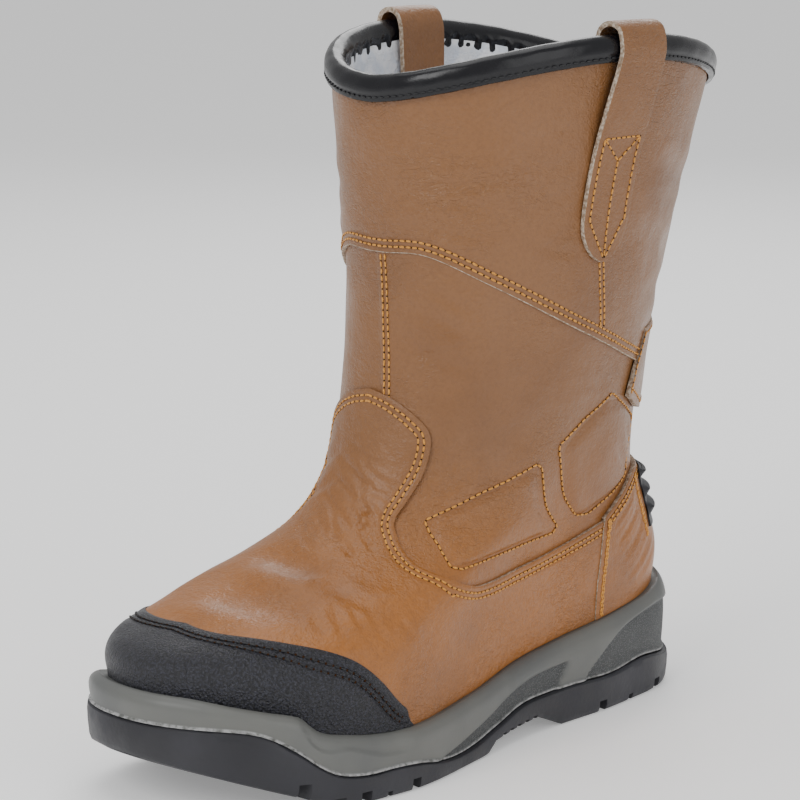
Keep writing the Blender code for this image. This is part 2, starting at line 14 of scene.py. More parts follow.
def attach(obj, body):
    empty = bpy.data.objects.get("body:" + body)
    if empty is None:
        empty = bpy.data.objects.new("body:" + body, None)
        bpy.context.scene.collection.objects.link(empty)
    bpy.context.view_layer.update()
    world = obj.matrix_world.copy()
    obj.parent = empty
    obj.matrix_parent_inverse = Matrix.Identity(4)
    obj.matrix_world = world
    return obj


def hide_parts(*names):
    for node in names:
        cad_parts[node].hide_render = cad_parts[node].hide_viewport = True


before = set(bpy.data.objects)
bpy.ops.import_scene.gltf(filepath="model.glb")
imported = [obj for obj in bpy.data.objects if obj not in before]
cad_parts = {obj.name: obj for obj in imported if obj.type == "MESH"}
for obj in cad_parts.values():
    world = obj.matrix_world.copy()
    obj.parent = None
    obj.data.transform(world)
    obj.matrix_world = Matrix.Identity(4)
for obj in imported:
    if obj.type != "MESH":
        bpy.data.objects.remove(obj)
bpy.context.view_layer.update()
bpy.ops.object.select_all(action="DESELECT")

# Driving sizes of the boot, in mm.
SOLE_BACK = -7.0
SOLE_TOE = 291.0
Y_ZERO = 135.05
HEEL_ROUND = 36.0
TOE_ROUND_OUTER = 72.0
TOE_ROUND_INNER = 36.0
TOE_SWING = 10.0
WALL_INSET = 8.3
SEAT = 6.0
LAP_STEP = 1.4            # leg panel over the lower panels
VAMP_TOP = 1.9            # height of each overlay on the quarters
CAP_TOP = 2.7
COUNTER_TOP = 2.5
TAB_TOP_OUT = 2.6
PAD_SWELL = 2.6
STITCH_PITCH = 2.9
STITCH_LONG = 2.5
STITCH_WIDE = 1.0
STRAP_WIDTH = 26.0
STRAP_THICK = 2.2
STRAP_PHI = 86.5          # degrees round the collar from the toe
SOLE_CORE = 22.0          # inset of the hidden rings inside the midsole
RIB_WIDTH = 2.7
RIB_DEPTH = 1.8
LONG_GROOVE_WIDTH = 5.0
LONG_GROOVE_DEPTH = 4.2
GROOVE_REACH = 150.0      # a cross groove runs past both sides of the sole
CUTTER_HEIGHT = 12.0
RIB_CUTTER_HEIGHT = 8.0
WELD_GAP = 0.00002        # metres
FLOOR_SIDE = 12           # metres

# Stitch rows, mm from the edge of each piece, and the pitch of the thread on the cap.
LEG_ROWS = (2.6, 5.0)
VAMP_ROWS = (2.7, 5.1)
COUNTER_ROWS = (2.6, 4.6)
CAP_ROWS = (4.2, 6.8)
CAP_PITCH = 3.1

# Lamps: name, place in metres, side in metres, watts.
LAMPS = (("key", (0.15, -1.5, 1.25), 0.9, 13), ("fill", (1.6, -0.1, 0.7), 1.2, 6),
         ("top", (-0.2, 0.1, 1.7), 1.3, 10), ("rim", (-0.9, 1.2, 1.1), 0.8, 6))
CAMERA_PLACE = (0.8529, -0.8709, 0.3803)
CAMERA_TARGET = (-0.010, -0.00195, 0.140)
CAMERA_LENS = 135

RING_COLUMNS = ("u", "front_s", "front_z", "back_s", "back_z", "heel_w", "waist_w", "ball_w",
                "toe_w", "heel_zone", "toe_zone", "skew", "lift")
RING_ROWS = (
    (0.00, 283, 41, 2, 42, 29.0, 33.0, 47.0, 46.0, 32, 72, 1.0, 0),
    (0.08, 284, 51, 1, 53, 31.0, 35.0, 49.0, 47.0, 33, 72, 1.0, 0),
    (0.16, 276, 60, 4, 65, 32.0, 36.0, 49.0, 45.0, 35, 74, 1.0, 0),
    (0.25, 254, 67, 9, 79, 32.5, 37.0, 47.0, 41.0, 38, 78, 1.0, 1),
    (0.35, 220, 77, 15, 95, 33.5, 37.5, 42.5, 38.0, 44, 80, 0.9, 2),
    (0.45, 192, 90, 17, 109, 35.0, 39.0, 41.0, 38.0, 52, 80, 0.7, 1),
    (0.55, 172, 111, 15, 128, 38.0, 42.5, 44.0, 42.0, 62, 80, 0.5, 0),
    (0.65, 162, 142, 12, 152, 42.0, 47.0, 49.0, 48.0, 70, 76, 0.3, 0),
    (0.75, 159, 176, 7, 180, 47.0, 51.5, 53.0, 52.0, 75, 78, 0.1, 0),
    (0.85, 159, 210, 0, 210, 53.0, 56.0, 57.0, 56.0, 79, 80, 0.0, 6),
    (0.93, 160, 241, -9, 238, 57.5, 60.0, 60.5, 59.0, 83, 84, 0.0, 13),
    (1.00, 162, 272, -17, 264, 61.0, 63.0, 63.0, 61.0, 86, 88, 0.0, 19),
)
WIDTH_STATIONS = (0.1, 0.42, 0.72, 1.0)
CENTRE_SWING = ((0, 0), (0.35, 2.5), (0.6, 3.5), (0.8, 1), (1, -8))       # t, c
LOW_RING_SAG = ((0, 0), (0.15, -6), (0.3, -11), (0.5, -20), (0.62, -23), (0.72, -23),
                (0.82, -17), (0.92, -7), (1, 0))                          # t, z
# Sole: s, inner width, outer width; then heights along the foot.
SOLE_OUTLINE = ((-6, 34, 34), (20, 34, 35), (60, 36, 40), (90, 36, 41), (120, 36, 43),
                (150, 41, 49), (190, 49, 57), (215, 51, 56), (240, 52, 54), (262, 53, 51),
                (290, 53, 50))
TREAD_LINE = ((-7, 0), (89, 0), (104, 6.8), (120, 5.6), (137.5, 4.2), (141, 0.6), (146, 0),
              (226, 0), (232, 1.2), (245, 5), (259, 10), (274, 15.5), (291, 22))
OUTSOLE_TOP = ((-7, 15), (5, 14), (30, 17), (55, 15), (83, 16), (98, 15.6), (112, 15),
               (120, 13.6), (130, 10.8), (140, 8.8), (150, 6.8), (160, 5.8), (170, 6),
               (180, 7.4), (192, 10), (204, 11), (219, 11), (232, 13), (240, 17), (250, 25),
               (259, 31), (268, 34), (291, 36))
MIDSOLE_LIP = ((-7, 50), (0, 48.5), (15, 45), (44, 41), (63, 39), (91, 36), (114, 33),
               (143, 28), (177, 25), (204, 25), (233, 29), (241, 32), (248, 38), (259, 41),
               (271, 44), (282, 47), (291, 48))
# Side of the midsole: k from the outsole to the lip, mm outside the outline.
MIDSOLE_SIDE = ((0.0, -1.5), (0.015, -0.55), (0.04, -0.1), (0.07, -0.5), (0.10, -0.85),
                (0.3, -0.5), (0.5, -0.25), (0.66, -0.35), (0.80, -0.95), (0.90, -2.1),
                (0.96, -3.4), (1.0, -5.0))
# Upper edge of the grained hollow in the midsole side, before and behind the heel rib: s, z.
HOLLOW_FORE = ((70, 28), (85, 28), (109, 26), (126, 22), (142, 16.7), (162, 11.5), (175, 9),
               (191, 7), (215, 2))
HOLLOW_REAR = ((-7, 38.5), (5, 39), (20, 39.5), (35, 37.5), (48, 34.5), (58, 30), (66, 25),
               (74, 20))
TOE_STEP = ((200, 16), (211, 16.8), (220, 19.6), (229, 22.6), (236, 22.4), (241, 24),
            (245, 28), (248, 36), (252, 45))                              # s, z
OUTSOLE_SIDE = ((0.0, -2.2), (0.0, -0.7), (0.05, 0.2), (0.2, 0.45), (0.5, 0.3), (0.82, -0.1),
                (0.95, -0.7), (1.0, -1.7))
CROSS_GROOVES = ((24, 5, 6, 5.0), (42, 3.2, 0, 3.0), (59, 5, -6, 5.0), (187, 4.5, -8, 5.0),
                 (205, 2.4, -4, 2.5), (217, 5, -4, 5.0), (233, 5, 0, 3.0),
                 (247, 4.5, 0, 6.5))                                      # s, width, slant, depth
RIB_GROOVES = (108.5, 114, 119.5, 125, 130.5)
LONG_GROOVES = ((40, 62, -13), (40, 62, 13), (199, 62, -19), (199, 62, 19))   # s, length, c

# Panel edges on the outer side, mirrored on the inner one: phi in degrees, u.
LEG_EDGE = ((0, 0.838), (20, 0.835), (44, 0.799), (83, 0.729), (123, 0.657), (150, 0.635),
            (180, 0.630))
CAP_EDGE = ((0.0, 0, 0.238), (0.15, 11, 0.229), (0.35, 28, 0.215), (0.52, 42, 0.198),
            (0.67, 52.5, 0.177), (0.82, 61, 0.145), (1.0, 67.5, 0.105))
CAP_FOOT = ((0.0, 0, 0.055), (0.35, 27, 0.055), (0.67, 53, 0.055), (1.0, 69.5, 0.055))
VAMP_EDGE = ((0.00, 0, 0.672), (0.08, 10, 0.664), (0.16, 21, 0.646), (0.23, 30, 0.620),
             (0.30, 32.5, 0.580), (0.38, 31.5, 0.527), (0.46, 31.5, 0.490),
             (0.54, 37, 0.455), (0.61, 44, 0.415), (0.68, 53, 0.365), (0.75, 64, 0.318),
             (0.81, 75, 0.278), (0.87, 84, 0.260), (0.93, 101, 0.262), (1.0, 125, 0.291))
VAMP_FOOT = ((0.00, 0, 0.205), (0.16, 6, 0.202), (0.30, 12, 0.198), (0.38, 18, 0.193),
             (0.46, 26, 0.187), (0.54, 38, 0.174), (0.61, 50, 0.152), (0.66, 60, 0.115),
             (0.72, 66.6, 0.055), (0.86, 95, 0.055), (1.0, 125.5, 0.055))
COUNTER_EDGE = ((-1.0, 124.2, 0.300), (-0.85, 131, 0.349), (-0.65, 140, 0.392),
                (-0.35, 158, 0.404), (0.0, 180, 0.407), (0.35, 202, 0.404),
                (0.65, 220, 0.392), (0.85, 229, 0.349), (1.0, 235.8, 0.300))
COUNTER_FOOT = ((-1, 124.6, 0.055), (0, 180, 0.055), (1, 235.4, 0.055))
# Kick strip: its span in degrees, then u and how far each ridge stands out in mm.
KICK_SPAN = (150.0, 210.0)
KICK_ROWS = ((0.218, 0.0), (0.245, 0.0), (0.264, 2.8), (0.282, 0.0), (0.293, 0.0),
             (0.311, 2.8), (0.330, 0.0), (0.350, 0.0), (0.368, 2.8), (0.384, 0.0))
TAB_TOP = ((-1.0, 127, 0.703), (0.0, 180, 0.706), (1.0, 233, 0.703))
TAB_FOOT = ((-1.0, 119, 0.605), (-0.6, 140, 0.560), (0.0, 180, 0.550), (0.6, 220, 0.560),
            (1.0, 241, 0.605))
FRONT_PAD = ((42.5, 0.485), (57.5, 0.522), (76, 0.550), (79.5, 0.537), (104.5, 0.330),
             (104, 0.312), (70, 0.323), (65, 0.340), (54, 0.42))          # phi, u round the patch
REAR_PAD = ((107.5, 0.623), (136.5, 0.547), (137.5, 0.405), (117, 0.328), (111.5, 0.338),
            (84, 0.568), (94, 0.598))
PAD_GRIDS = {
    "ankle_pad_front": (((0.0, 65.5, 0.334), (0.5, 84, 0.322), (1.0, 104.5, 0.314)),
                        ((0.0, 42.5, 0.485), (0.45, 58, 0.522), (1.0, 77.5, 0.549))),
    "ankle_pad_rear": (((0.0, 110, 0.340), (0.25, 116, 0.330), (1.0, 137.5, 0.405)),
                       ((0.0, 84, 0.568), (0.45, 107, 0.620), (1.0, 136, 0.550))),
}
FRONT_SEAM = ((0.838, 1.0), (0.755, 3.0), (0.66, 7.0))                    # u, phi
BINDING_SECTION = ((4.3, -5.2), (4.7, -2.2), (4.4, 1.4), (3.1, 4.2), (0.6, 5.5), (-2.2, 5.0),
                   (-4.4, 2.6), (-4.8, -0.2), (-4.2, -2.8), (-3.9, -5.6), (-2.3, -5.8),
                   (-2.2, -2.0), (0.0, -1.0), (1.9, -2.0), (2.3, -5.4))   # outward, up
LOOP_ON_LEG = ((0.812, 0.10, 1.9), (0.816, 0.34, 1.9), (0.824, 0.60, 1.9), (0.836, 0.84, 1.9),
               (0.850, 0.97, 1.9), (0.880, 1.0, 1.9), (0.915, 1.0, 2.3), (0.950, 1.0, 4.2))
LOOP_OVER = ((6.4, -3.0), (6.4, 3.0), (5.0, 7.6), (1.8, 9.6), (-1.8, 9.6), (-5.2, 7.4),
             (-7.0, 2.6), (-7.4, -3.0))
LOOP_INSIDE = ((0.955, 8.6), (0.925, 7.6), (0.880, 7.2), (0.840, 7.2))
LOOP_PHI = ((0.812, 84.0), (0.87, 83.3), (0.93, 84.0), (1.0, STRAP_PHI))

# Soft folds of the leather: from phi, u to phi, u, how far the middle bows (in u), half width in
# mm, depth in mm (a negative depth is a ridge).
FOLDS = (
    (-14, 0.588, 26, 0.520, 0.004, 1.6, 0.7), (-12, 0.560, 25, 0.490, 0.004, 1.4, 0.65),
    (2, 0.585, 27, 0.545, -0.004, 1.2, 0.5), (6, 0.545, 27, 0.470, 0.004, 1.3, 0.6),
    (-16, 0.535, 20, 0.470, 0.002, 1.7, 0.7), (12, 0.500, 32, 0.435, 0.004, 1.4, 0.6),
    (-4, 0.515, 18, 0.430, 0.003, 1.2, 0.5), (14, 0.560, 26, 0.520, 0.0, 1.1, 0.45),
    (8, 0.470, 30, 0.405, 0.005, 1.6, 0.55), (-18, 0.480, 8, 0.425, 0.0, 1.8, 0.5),
    (-8, 0.605, 16, 0.570, 0.003, 1.1, 0.45), (-2, 0.570, 22, 0.508, 0.004, 1.1, 0.5),
    (4, 0.525, 26, 0.455, 0.004, 1.1, 0.5), (-8, 0.495, 14, 0.445, 0.002, 1.2, 0.5),
    (16, 0.480, 34, 0.420, 0.004, 1.2, 0.45), (18, 0.530, 28, 0.490, 0.0, 1.0, 0.4),
    (-30, 0.545, -8, 0.600, 0.0, 2.4, 0.6), (-28, 0.500, -4, 0.560, 0.0, 2.4, 0.6),
    (-14, 0.365, 34, 0.330, 0.010, 7.0, -1.3), (-10, 0.315, 36, 0.270, 0.008, 8.0, 1.1),
    (-20, 0.405, 24, 0.385, 0.0, 7.0, 1.3), (-14, 0.275, 24, 0.255, 0.0, 6.0, -0.6),
    (38, 0.300, 50, 0.205, 0.0, 2.0, 0.35), (44, 0.285, 54, 0.215, 0.0, 1.6, 0.35),
    (50, 0.270, 58, 0.200, 0.0, 1.8, 0.3), (58, 0.250, 66, 0.195, 0.0, 1.6, 0.3),
    (34, 0.290, 44, 0.215, 0.0, 2.2, 0.3), (30, 0.350, 60, 0.255, -0.01, 4.0, 0.5),
    (60, 0.235, 98, 0.150, 0.0, 9.0, 0.7), (98, 0.225, 118, 0.245, 0.004, 2.0, 0.35),
    (100, 0.205, 120, 0.215, 0.004, 2.0, 0.35), (96, 0.175, 119, 0.195, 0.0, 2.4, 0.3),
    (36, 0.555, 66, 0.610, 0.006, 5.0, 0.7), (37, 0.520, 54, 0.560, 0.004, 2.2, 0.5),
    (36, 0.500, 48, 0.520, 0.0, 1.6, 0.4), (38, 0.590, 60, 0.650, 0.0, 2.6, 0.4),
    (35, 0.640, 80, 0.600, -0.012, 6.0, 0.6), (46, 0.470, 60, 0.452, 0.004, 2.4, 0.45),
    (8, 0.780, 40, 0.735, 0.004, 3.0, 0.45), (10, 0.745, 30, 0.700, 0.0, 2.0, 0.35),
    (16, 0.720, 46, 0.690, 0.006, 2.4, 0.4), (20, 0.805, 46, 0.760, -0.004, 2.0, 0.35),
    (84, 0.690, 122, 0.640, 0.0, 6.0, 0.4), (84, 0.655, 104, 0.640, 0.0, 2.4, 0.3),
    (4, 0.900, 64, 0.905, 0.003, 3.0, 0.5), (10, 0.888, 50, 0.884, 0.002, 2.0, 0.35),
    (36, 0.903, 78, 0.918, -0.004, 2.6, 0.45), (30, 0.880, 62, 0.862, 0.004, 2.4, 0.4),
    (50, 0.868, 76, 0.890, 0.0, 2.0, 0.35), (40, 0.950, 72, 0.935, 0.002, 2.4, 0.3),
    (52, 0.845, 78, 0.822, -0.004, 2.4, 0.45), (56, 0.815, 74, 0.860, 0.0, 1.8, 0.35),
    (20, 0.862, 48, 0.842, 0.003, 2.2, 0.35), (6, 0.860, 34, 0.872, 0.0, 3.6, 0.4),
    (98, 0.900, 150, 0.885, 0.004, 5.0, 0.5), (100, 0.840, 140, 0.800, 0.004, 5.0, 0.5),
    (110, 0.760, 170, 0.745, 0.004, 5.0, 0.5), (-80, 0.905, -20, 0.890, 0.004, 4.0, 0.5),
    (-70, 0.850, -24, 0.830, 0.004, 3.0, 0.5), (-150, 0.870, -100, 0.850, 0.004, 5.0, 0.5),
    (-66, 0.610, -36, 0.555, 0.006, 5.0, 0.7), (-60, 0.650, -38, 0.590, 0.0, 2.6, 0.4),
    (-58, 0.270, -44, 0.200, 0.0, 2.0, 0.35), (-64, 0.250, -52, 0.195, 0.0, 1.8, 0.35),
    (-50, 0.290, -38, 0.215, 0.0, 2.2, 0.35), (-98, 0.150, -60, 0.235, 0.0, 9.0, 0.7),
    (128, 0.270, 141, 0.350, 0.0, 1.5, 0.35), (130, 0.215, 143, 0.300, 0.0, 1.5, 0.35),
    (132, 0.165, 146, 0.260, 0.0, 1.7, 0.35), (134, 0.120, 150, 0.205, 0.0, 1.8, 0.35),
    (138, 0.110, 156, 0.190, 0.0, 1.8, 0.3), (-141, 0.350, -128, 0.270, 0.0, 1.5, 0.35),
    (-146, 0.260, -132, 0.165, 0.0, 1.7, 0.35), (118, 0.520, 134, 0.430, 0.0, 2.2, 0.3),
    (122, 0.555, 136, 0.480, 0.0, 1.8, 0.3),
)


def table(rows, x, column=1):
    """Smooth curve through the rows of a table, read at x."""
    a = np.array(rows, float)
    return curve_through(a[:, 0], list(a[:, column]), x)


def curve_through(xs, values, x):
    """Cubic through values given at xs, with the slopes of the neighbours."""
    xs = np.asarray(xs, float)
    values = np.stack(np.broadcast_arrays(*values))
    after, before = np.roll(values, -1, 0), np.roll(values, 1, 0)
    after[-1], before[0] = values[-1], values[0]
    ahead, behind = np.append(xs[1:], xs[-1]), np.append(xs[0], xs[:-1])
    span = (ahead - behind).reshape((-1,) + (1,) * (values.ndim - 1))
    slopes = (after - before) / span
    x = np.clip(np.asarray(x, float), xs[0], xs[-1])
    i = np.clip(np.searchsorted(xs, x, side="right") - 1, 0, len(xs) - 2)
    h = xs[i + 1] - xs[i]
    q = (x - xs[i]) / h
    if values.ndim == 1:
        a, b, slope_a, slope_b = values[i], values[i + 1], slopes[i], slopes[i + 1]
    else:
        shape = np.broadcast(x, values[0]).shape
        pick = np.broadcast_to(i, shape)[None]
        wide = (len(xs),) + shape
        values, slopes = np.broadcast_to(values, wide), np.broadcast_to(slopes, wide)
        a, b = (np.take_along_axis(values, pick + k, 0)[0] for k in (0, 1))
        slope_a, slope_b = (np.take_along_axis(slopes, pick + k, 0)[0] for k in (0, 1))
    return (a + q * q * (3 - 2 * q) * (b - a) + (q ** 3 - 2 * q ** 2 + q) * h * slope_a
            + (q ** 3 - q ** 2) * h * slope_b)


def line_through(rows, x, column=1):
    a = np.array(rows, float)
    return np.interp(x, a[:, 0], a[:, column])


def ring_column(name, u):
    return table(RING_ROWS, u, RING_COLUMNS.index(name))


def smooth(x):
    x = np.clip(x, 0, 1)
    return x * x * (3 - 2 * x)


def closing(q, power):
    """0 at the end of a ring, 1 once the end has closed, with a round nose."""
    q = np.clip(q, 0, 1)
    return (1 - (1 - q) ** power) ** (1 / power)


def sole_ring(phi, grow=0.0):
    """s and c of the sole outline at ring angle phi, grown outwards by grow."""
    t = (1 + np.cos(phi)) / 2
    back, toe = SOLE_BACK - grow, SOLE_TOE + grow
    s = back + (toe - back) * t
    outer = np.sin(phi) > 0
    swing = TOE_SWING * np.clip((s - 200) / 90, 0, 1) ** 2
    inner_w = table(SOLE_OUTLINE, s, 1) + grow - swing
    outer_w = table(SOLE_OUTLINE, s, 2) + grow + swing / 2
    nose = np.where(outer, closing((toe - s) / TOE_ROUND_OUTER, 2.1),
                    closing((toe - s) / TOE_ROUND_INNER, 2.2))
    end = closing((s - back) / HEEL_ROUND, 2.1) * nose
    side = np.where(np.abs(np.sin(phi)) < 1e-9, 0.0, np.where(outer, outer_w, -inner_w))
    return s, -swing + side * end


def upper_point(u, phi):
    """Outside of the upper in shoe coordinates: u from sole to collar, phi round the ring."""
    u, phi = np.broadcast_arrays(np.asarray(u, float), np.asarray(phi, float))
    t = (1 + np.cos(phi)) / 2
    back, front = ring_column("back_s", u), ring_column("front_s", u)
    s = back + (front - back) * t
    widths = [ring_column(k, u) for k in ("heel_w", "waist_w", "ball_w", "toe_w")]
    w = curve_through(WIDTH_STATIONS, widths, t)
    skew = ring_column("skew", u)
    side = np.sign(np.round(np.sin(phi), 9))
    zone = ring_column("toe_zone", u) * np.where(side > 0, 1, 1 - 0.5 * skew)
    half = (front - back) / 2
    end = (closing((s - back) / np.minimum(ring_column("heel_zone", u), half), 2.1)
           * closing((front - s) / np.minimum(zone, np.maximum(half, zone * skew)), 2.2))
    c = skew * table(CENTRE_SWING, t) + side * w * end
    z = ring_column("back_z", u) + (ring_column("front_z", u) - ring_column("back_z", u)) * t
    z = z + ring_column("lift", u) * np.abs(np.sin(phi)) ** 1.6
    z = z + 0.9 * np.clip(1 - u / 0.3, 0, 1) ** 1.2 * table(LOW_RING_SAG, t)
    low_s, low_c = sole_ring(phi, -WALL_INSET)
    low_z = table(MIDSOLE_LIP, low_s) - SEAT + 110 * u
    k = smooth((u - 0.06) / 0.14)
    return np.stack([low_s + (s - low_s) * k, low_c + (c - low_c) * k,
                     low_z + (z - low_z) * k], -1)


def upper_normal(u, phi):
    """Outward unit normal of the upper."""
    u, phi = np.broadcast_arrays(np.asarray(u, float), np.asarray(phi, float))
    du, dp = 0.004, math.radians(1.5)
    a = upper_point(np.clip(u + du, 0, 1), phi) - upper_point(np.clip(u - du, 0, 1), phi)
    b = upper_point(u, phi + dp) - upper_point(u, phi - dp)
    n = np.cross(b, a)
    return n / np.linalg.norm(n, axis=-1, keepdims=True)


def place_folds():
    """The middle line of every fold, in shoe coordinates, with its width and depth."""
    q = np.linspace(0, 1, 8)
    placed = []
    for phi_a, u_a, phi_b, u_b, bow, width, depth in FOLDS:
        line = upper_point(u_a + (u_b - u_a) * q + bow * 4 * q * (1 - q),
                           np.radians(phi_a + (phi_b - phi_a) * q))
        placed.append((line, width, depth))
    return placed


def fold_depth(points):
    """How far the folds and the slackness of the leather move each point outwards, in mm."""
    shape = points.shape[:-1]
    p = points.reshape(-1, 3)
    out = 0.35 * np.sin(p[:, 2] / 17 + p[:, 0] / 31) * np.sin(p[:, 0] / 23 - p[:, 1] / 29)
    out += 0.12 * np.sin(p[:, 2] / 4.6 + p[:, 0] / 11) * np.sin(p[:, 0] / 7.3 + p[:, 1] / 6.1)
    for line, width, depth in fold_lines:
        near = np.flatnonzero(np.all((p > line.min(0) - 4 * width)
                                     & (p < line.max(0) + 4 * width), axis=1))
        if not len(near):
            continue
        here = p[near]
        best = np.full(len(near), 1e9)
        along = np.zeros(len(near))
        for i in range(7):
            step = line[i + 1] - line[i]
            t = np.clip((here - line[i]) @ step / (step @ step), 0, 1)
            gap = np.linalg.norm(here - line[i] - t[:, None] * step, axis=1)
            along = np.where(gap < best, (i + t) / 7, along)
            best = np.minimum(best, gap)
        x = best / width
        fade = smooth(along / 0.25) * smooth((1 - along) / 0.25)
        out[near] -= depth * fade * (np.exp(-x ** 2) - 0.45 * np.exp(-((x - 1.8) / 0.8) ** 2))
    return out.reshape(shape)


def leather(u, phi, out=0.0):
    """Surface of the leather after wear: the upper with its folds, moved outwards by out."""
    base = upper_point(u, phi)
    lift = np.asarray(out, float) + fold_depth(base)
    return base + upper_normal(u, phi) * lift[..., None]


def wall(u, phi, out=0.0):
    """Upper without folds, moved outwards by out."""
    return upper_point(u, phi) + upper_normal(u, phi) * np.asarray(out, float)[..., None]


def collar_frame(phi):
    """Top edge with its outward and up directions."""
    edge = upper_point(1.0, phi)
    n = upper_normal(1.0, phi)
    n[..., 2] = 0
    n = n / np.linalg.norm(n, axis=-1, keepdims=True)
    up = edge - upper_point(0.985, phi)
    up = up / np.linalg.norm(up, axis=-1, keepdims=True)
    return edge, n, up


def to_world(p):
    """Shoe coordinates in mm to the row frame in metres."""
    p = np.asarray(p, float)
    return np.stack([p[..., 1], Y_ZERO - p[..., 0], p[..., 2]], -1) / 1000.0


def from_toe(phi):
    """Degrees from the toe, the same on both sides, for angles that go all the way round."""
    return np.degrees(np.minimum(phi, 2 * math.pi - phi))


def both_sides(steps):
    """Steps from -1 to 1 out of steps from 0 to 1."""
    return np.concatenate([steps[::-1] * -1, steps[1:]])


def panel_grid(foot, top, a_values, b_values):
    """u and phi over a panel whose foot and top edge are tables of a, phi, u."""
    a = np.asarray(a_values, float)
    mirrored = min(r[0] for r in top) >= 0 and a.min() < 0
    key = np.abs(a) if mirrored else a
    flip = np.where(a < 0, -1.0, 1.0) if mirrored else 1.0
    phi0, u0 = table(foot, key, 1) * flip, table(foot, key, 2)
    phi1, u1 = table(top, key, 1) * flip, table(top, key, 2)
    b = np.asarray(b_values, float)[:, None]
    return u0 + (u1 - u0) * b, np.radians(phi0 + (phi1 - phi0) * b)


def only(piece):
    bpy.ops.object.select_all(action="DESELECT")
    piece.select_set(True)
    bpy.context.view_layer.objects.active = piece


def apply_all(piece):
    only(piece)
    for modifier in list(piece.modifiers):
        bpy.ops.object.modifier_apply(modifier=modifier.name)


def edit(piece, *steps):
    """Run edit-mode operators on the whole of a piece; a step is an operator and its settings."""
    only(piece)
    bpy.ops.object.mode_set(mode="EDIT")
    bpy.ops.mesh.select_all(action="SELECT")
    for operator, settings in steps:
        operator(**settings)
    bpy.ops.object.mode_set(mode="OBJECT")


def shaped_grid(name, points, marks=None):
    """A grid primitive whose crossings are moved onto rows of shoe-coordinate points."""
    rows, columns = points.shape[:2]
    bpy.ops.mesh.primitive_grid_add(x_subdivisions=columns - 1, y_subdivisions=rows - 1, size=1)
    piece = bpy.context.object
    piece.name = name
    mesh = piece.data
    flat = np.zeros(len(mesh.vertices) * 3)
    mesh.vertices.foreach_get("co", flat)
    flat = flat.reshape(-1, 3)
    column = np.rint((flat[:, 0] + 0.5) * (columns - 1)).astype(int)
    row = np.rint((flat[:, 1] + 0.5) * (rows - 1)).astype(int)
    mesh.vertices.foreach_set("co", to_world(points[row, column]).ravel())
    for key, values in (marks or {}).items():
        attribute = mesh.attributes.new(key, "FLOAT", "POINT")
        attribute.data.foreach_set("value", values[row, column].astype(np.float32))
    mesh.update()
    return piece


def face_outwards(piece, points, normals):
    """Turn the faces of an open sheet the way its surface faces."""
    mesh = piece.data
    middle = mesh.polygons[len(mesh.polygons) // 2]
    flat = to_world(points.reshape(-1, 3))
    nearest = int(np.argmin(np.linalg.norm(flat - np.array(middle.center), axis=1)))
    n = normals.reshape(-1, 3)[nearest]
    if Vector((n[1], -n[0], n[2])).dot(middle.normal) < 0:
        edit(piece, (bpy.ops.mesh.flip_normals, {}))


def finish(piece, materials, nodes=(), thick=0.0, rim=False, bevel=0.0, angle=50):
    """Materials, thickness, softened edges, and hiding of the CAD parts the piece stands for."""
    for material in materials:
        piece.data.materials.append(material)
    if thick:
        modifier = piece.modifiers.new("thickness", "SOLIDIFY")
        modifier.thickness = thick / 1000
        modifier.offset = -1
        modifier.use_even_offset = False
        modifier.material_offset_rim = 1 if rim else 0
    if bevel:
        modifier = piece.modifiers.new("edge", "BEVEL")
        modifier.width = bevel / 1000
        modifier.segments = 2
        modifier.limit_method = "ANGLE"
        modifier.angle_limit = math.radians(50)
        modifier.material = 1 if rim else -1
    apply_all(piece)
    bpy.ops.object.shade_smooth_by_angle(angle=math.radians(angle))
    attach(piece, "root")
    if nodes:
        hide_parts(*nodes)
    return piece


def weld(piece):
    edit(piece, (bpy.ops.mesh.remove_doubles, {"threshold": WELD_GAP}))


def close_round(piece):
    """Join the first and last column of a grid that goes all the way round."""
    edit(piece, (bpy.ops.mesh.remove_doubles, {"threshold": WELD_GAP}),
         (bpy.ops.mesh.normals_make_consistent, {"inside": False}))


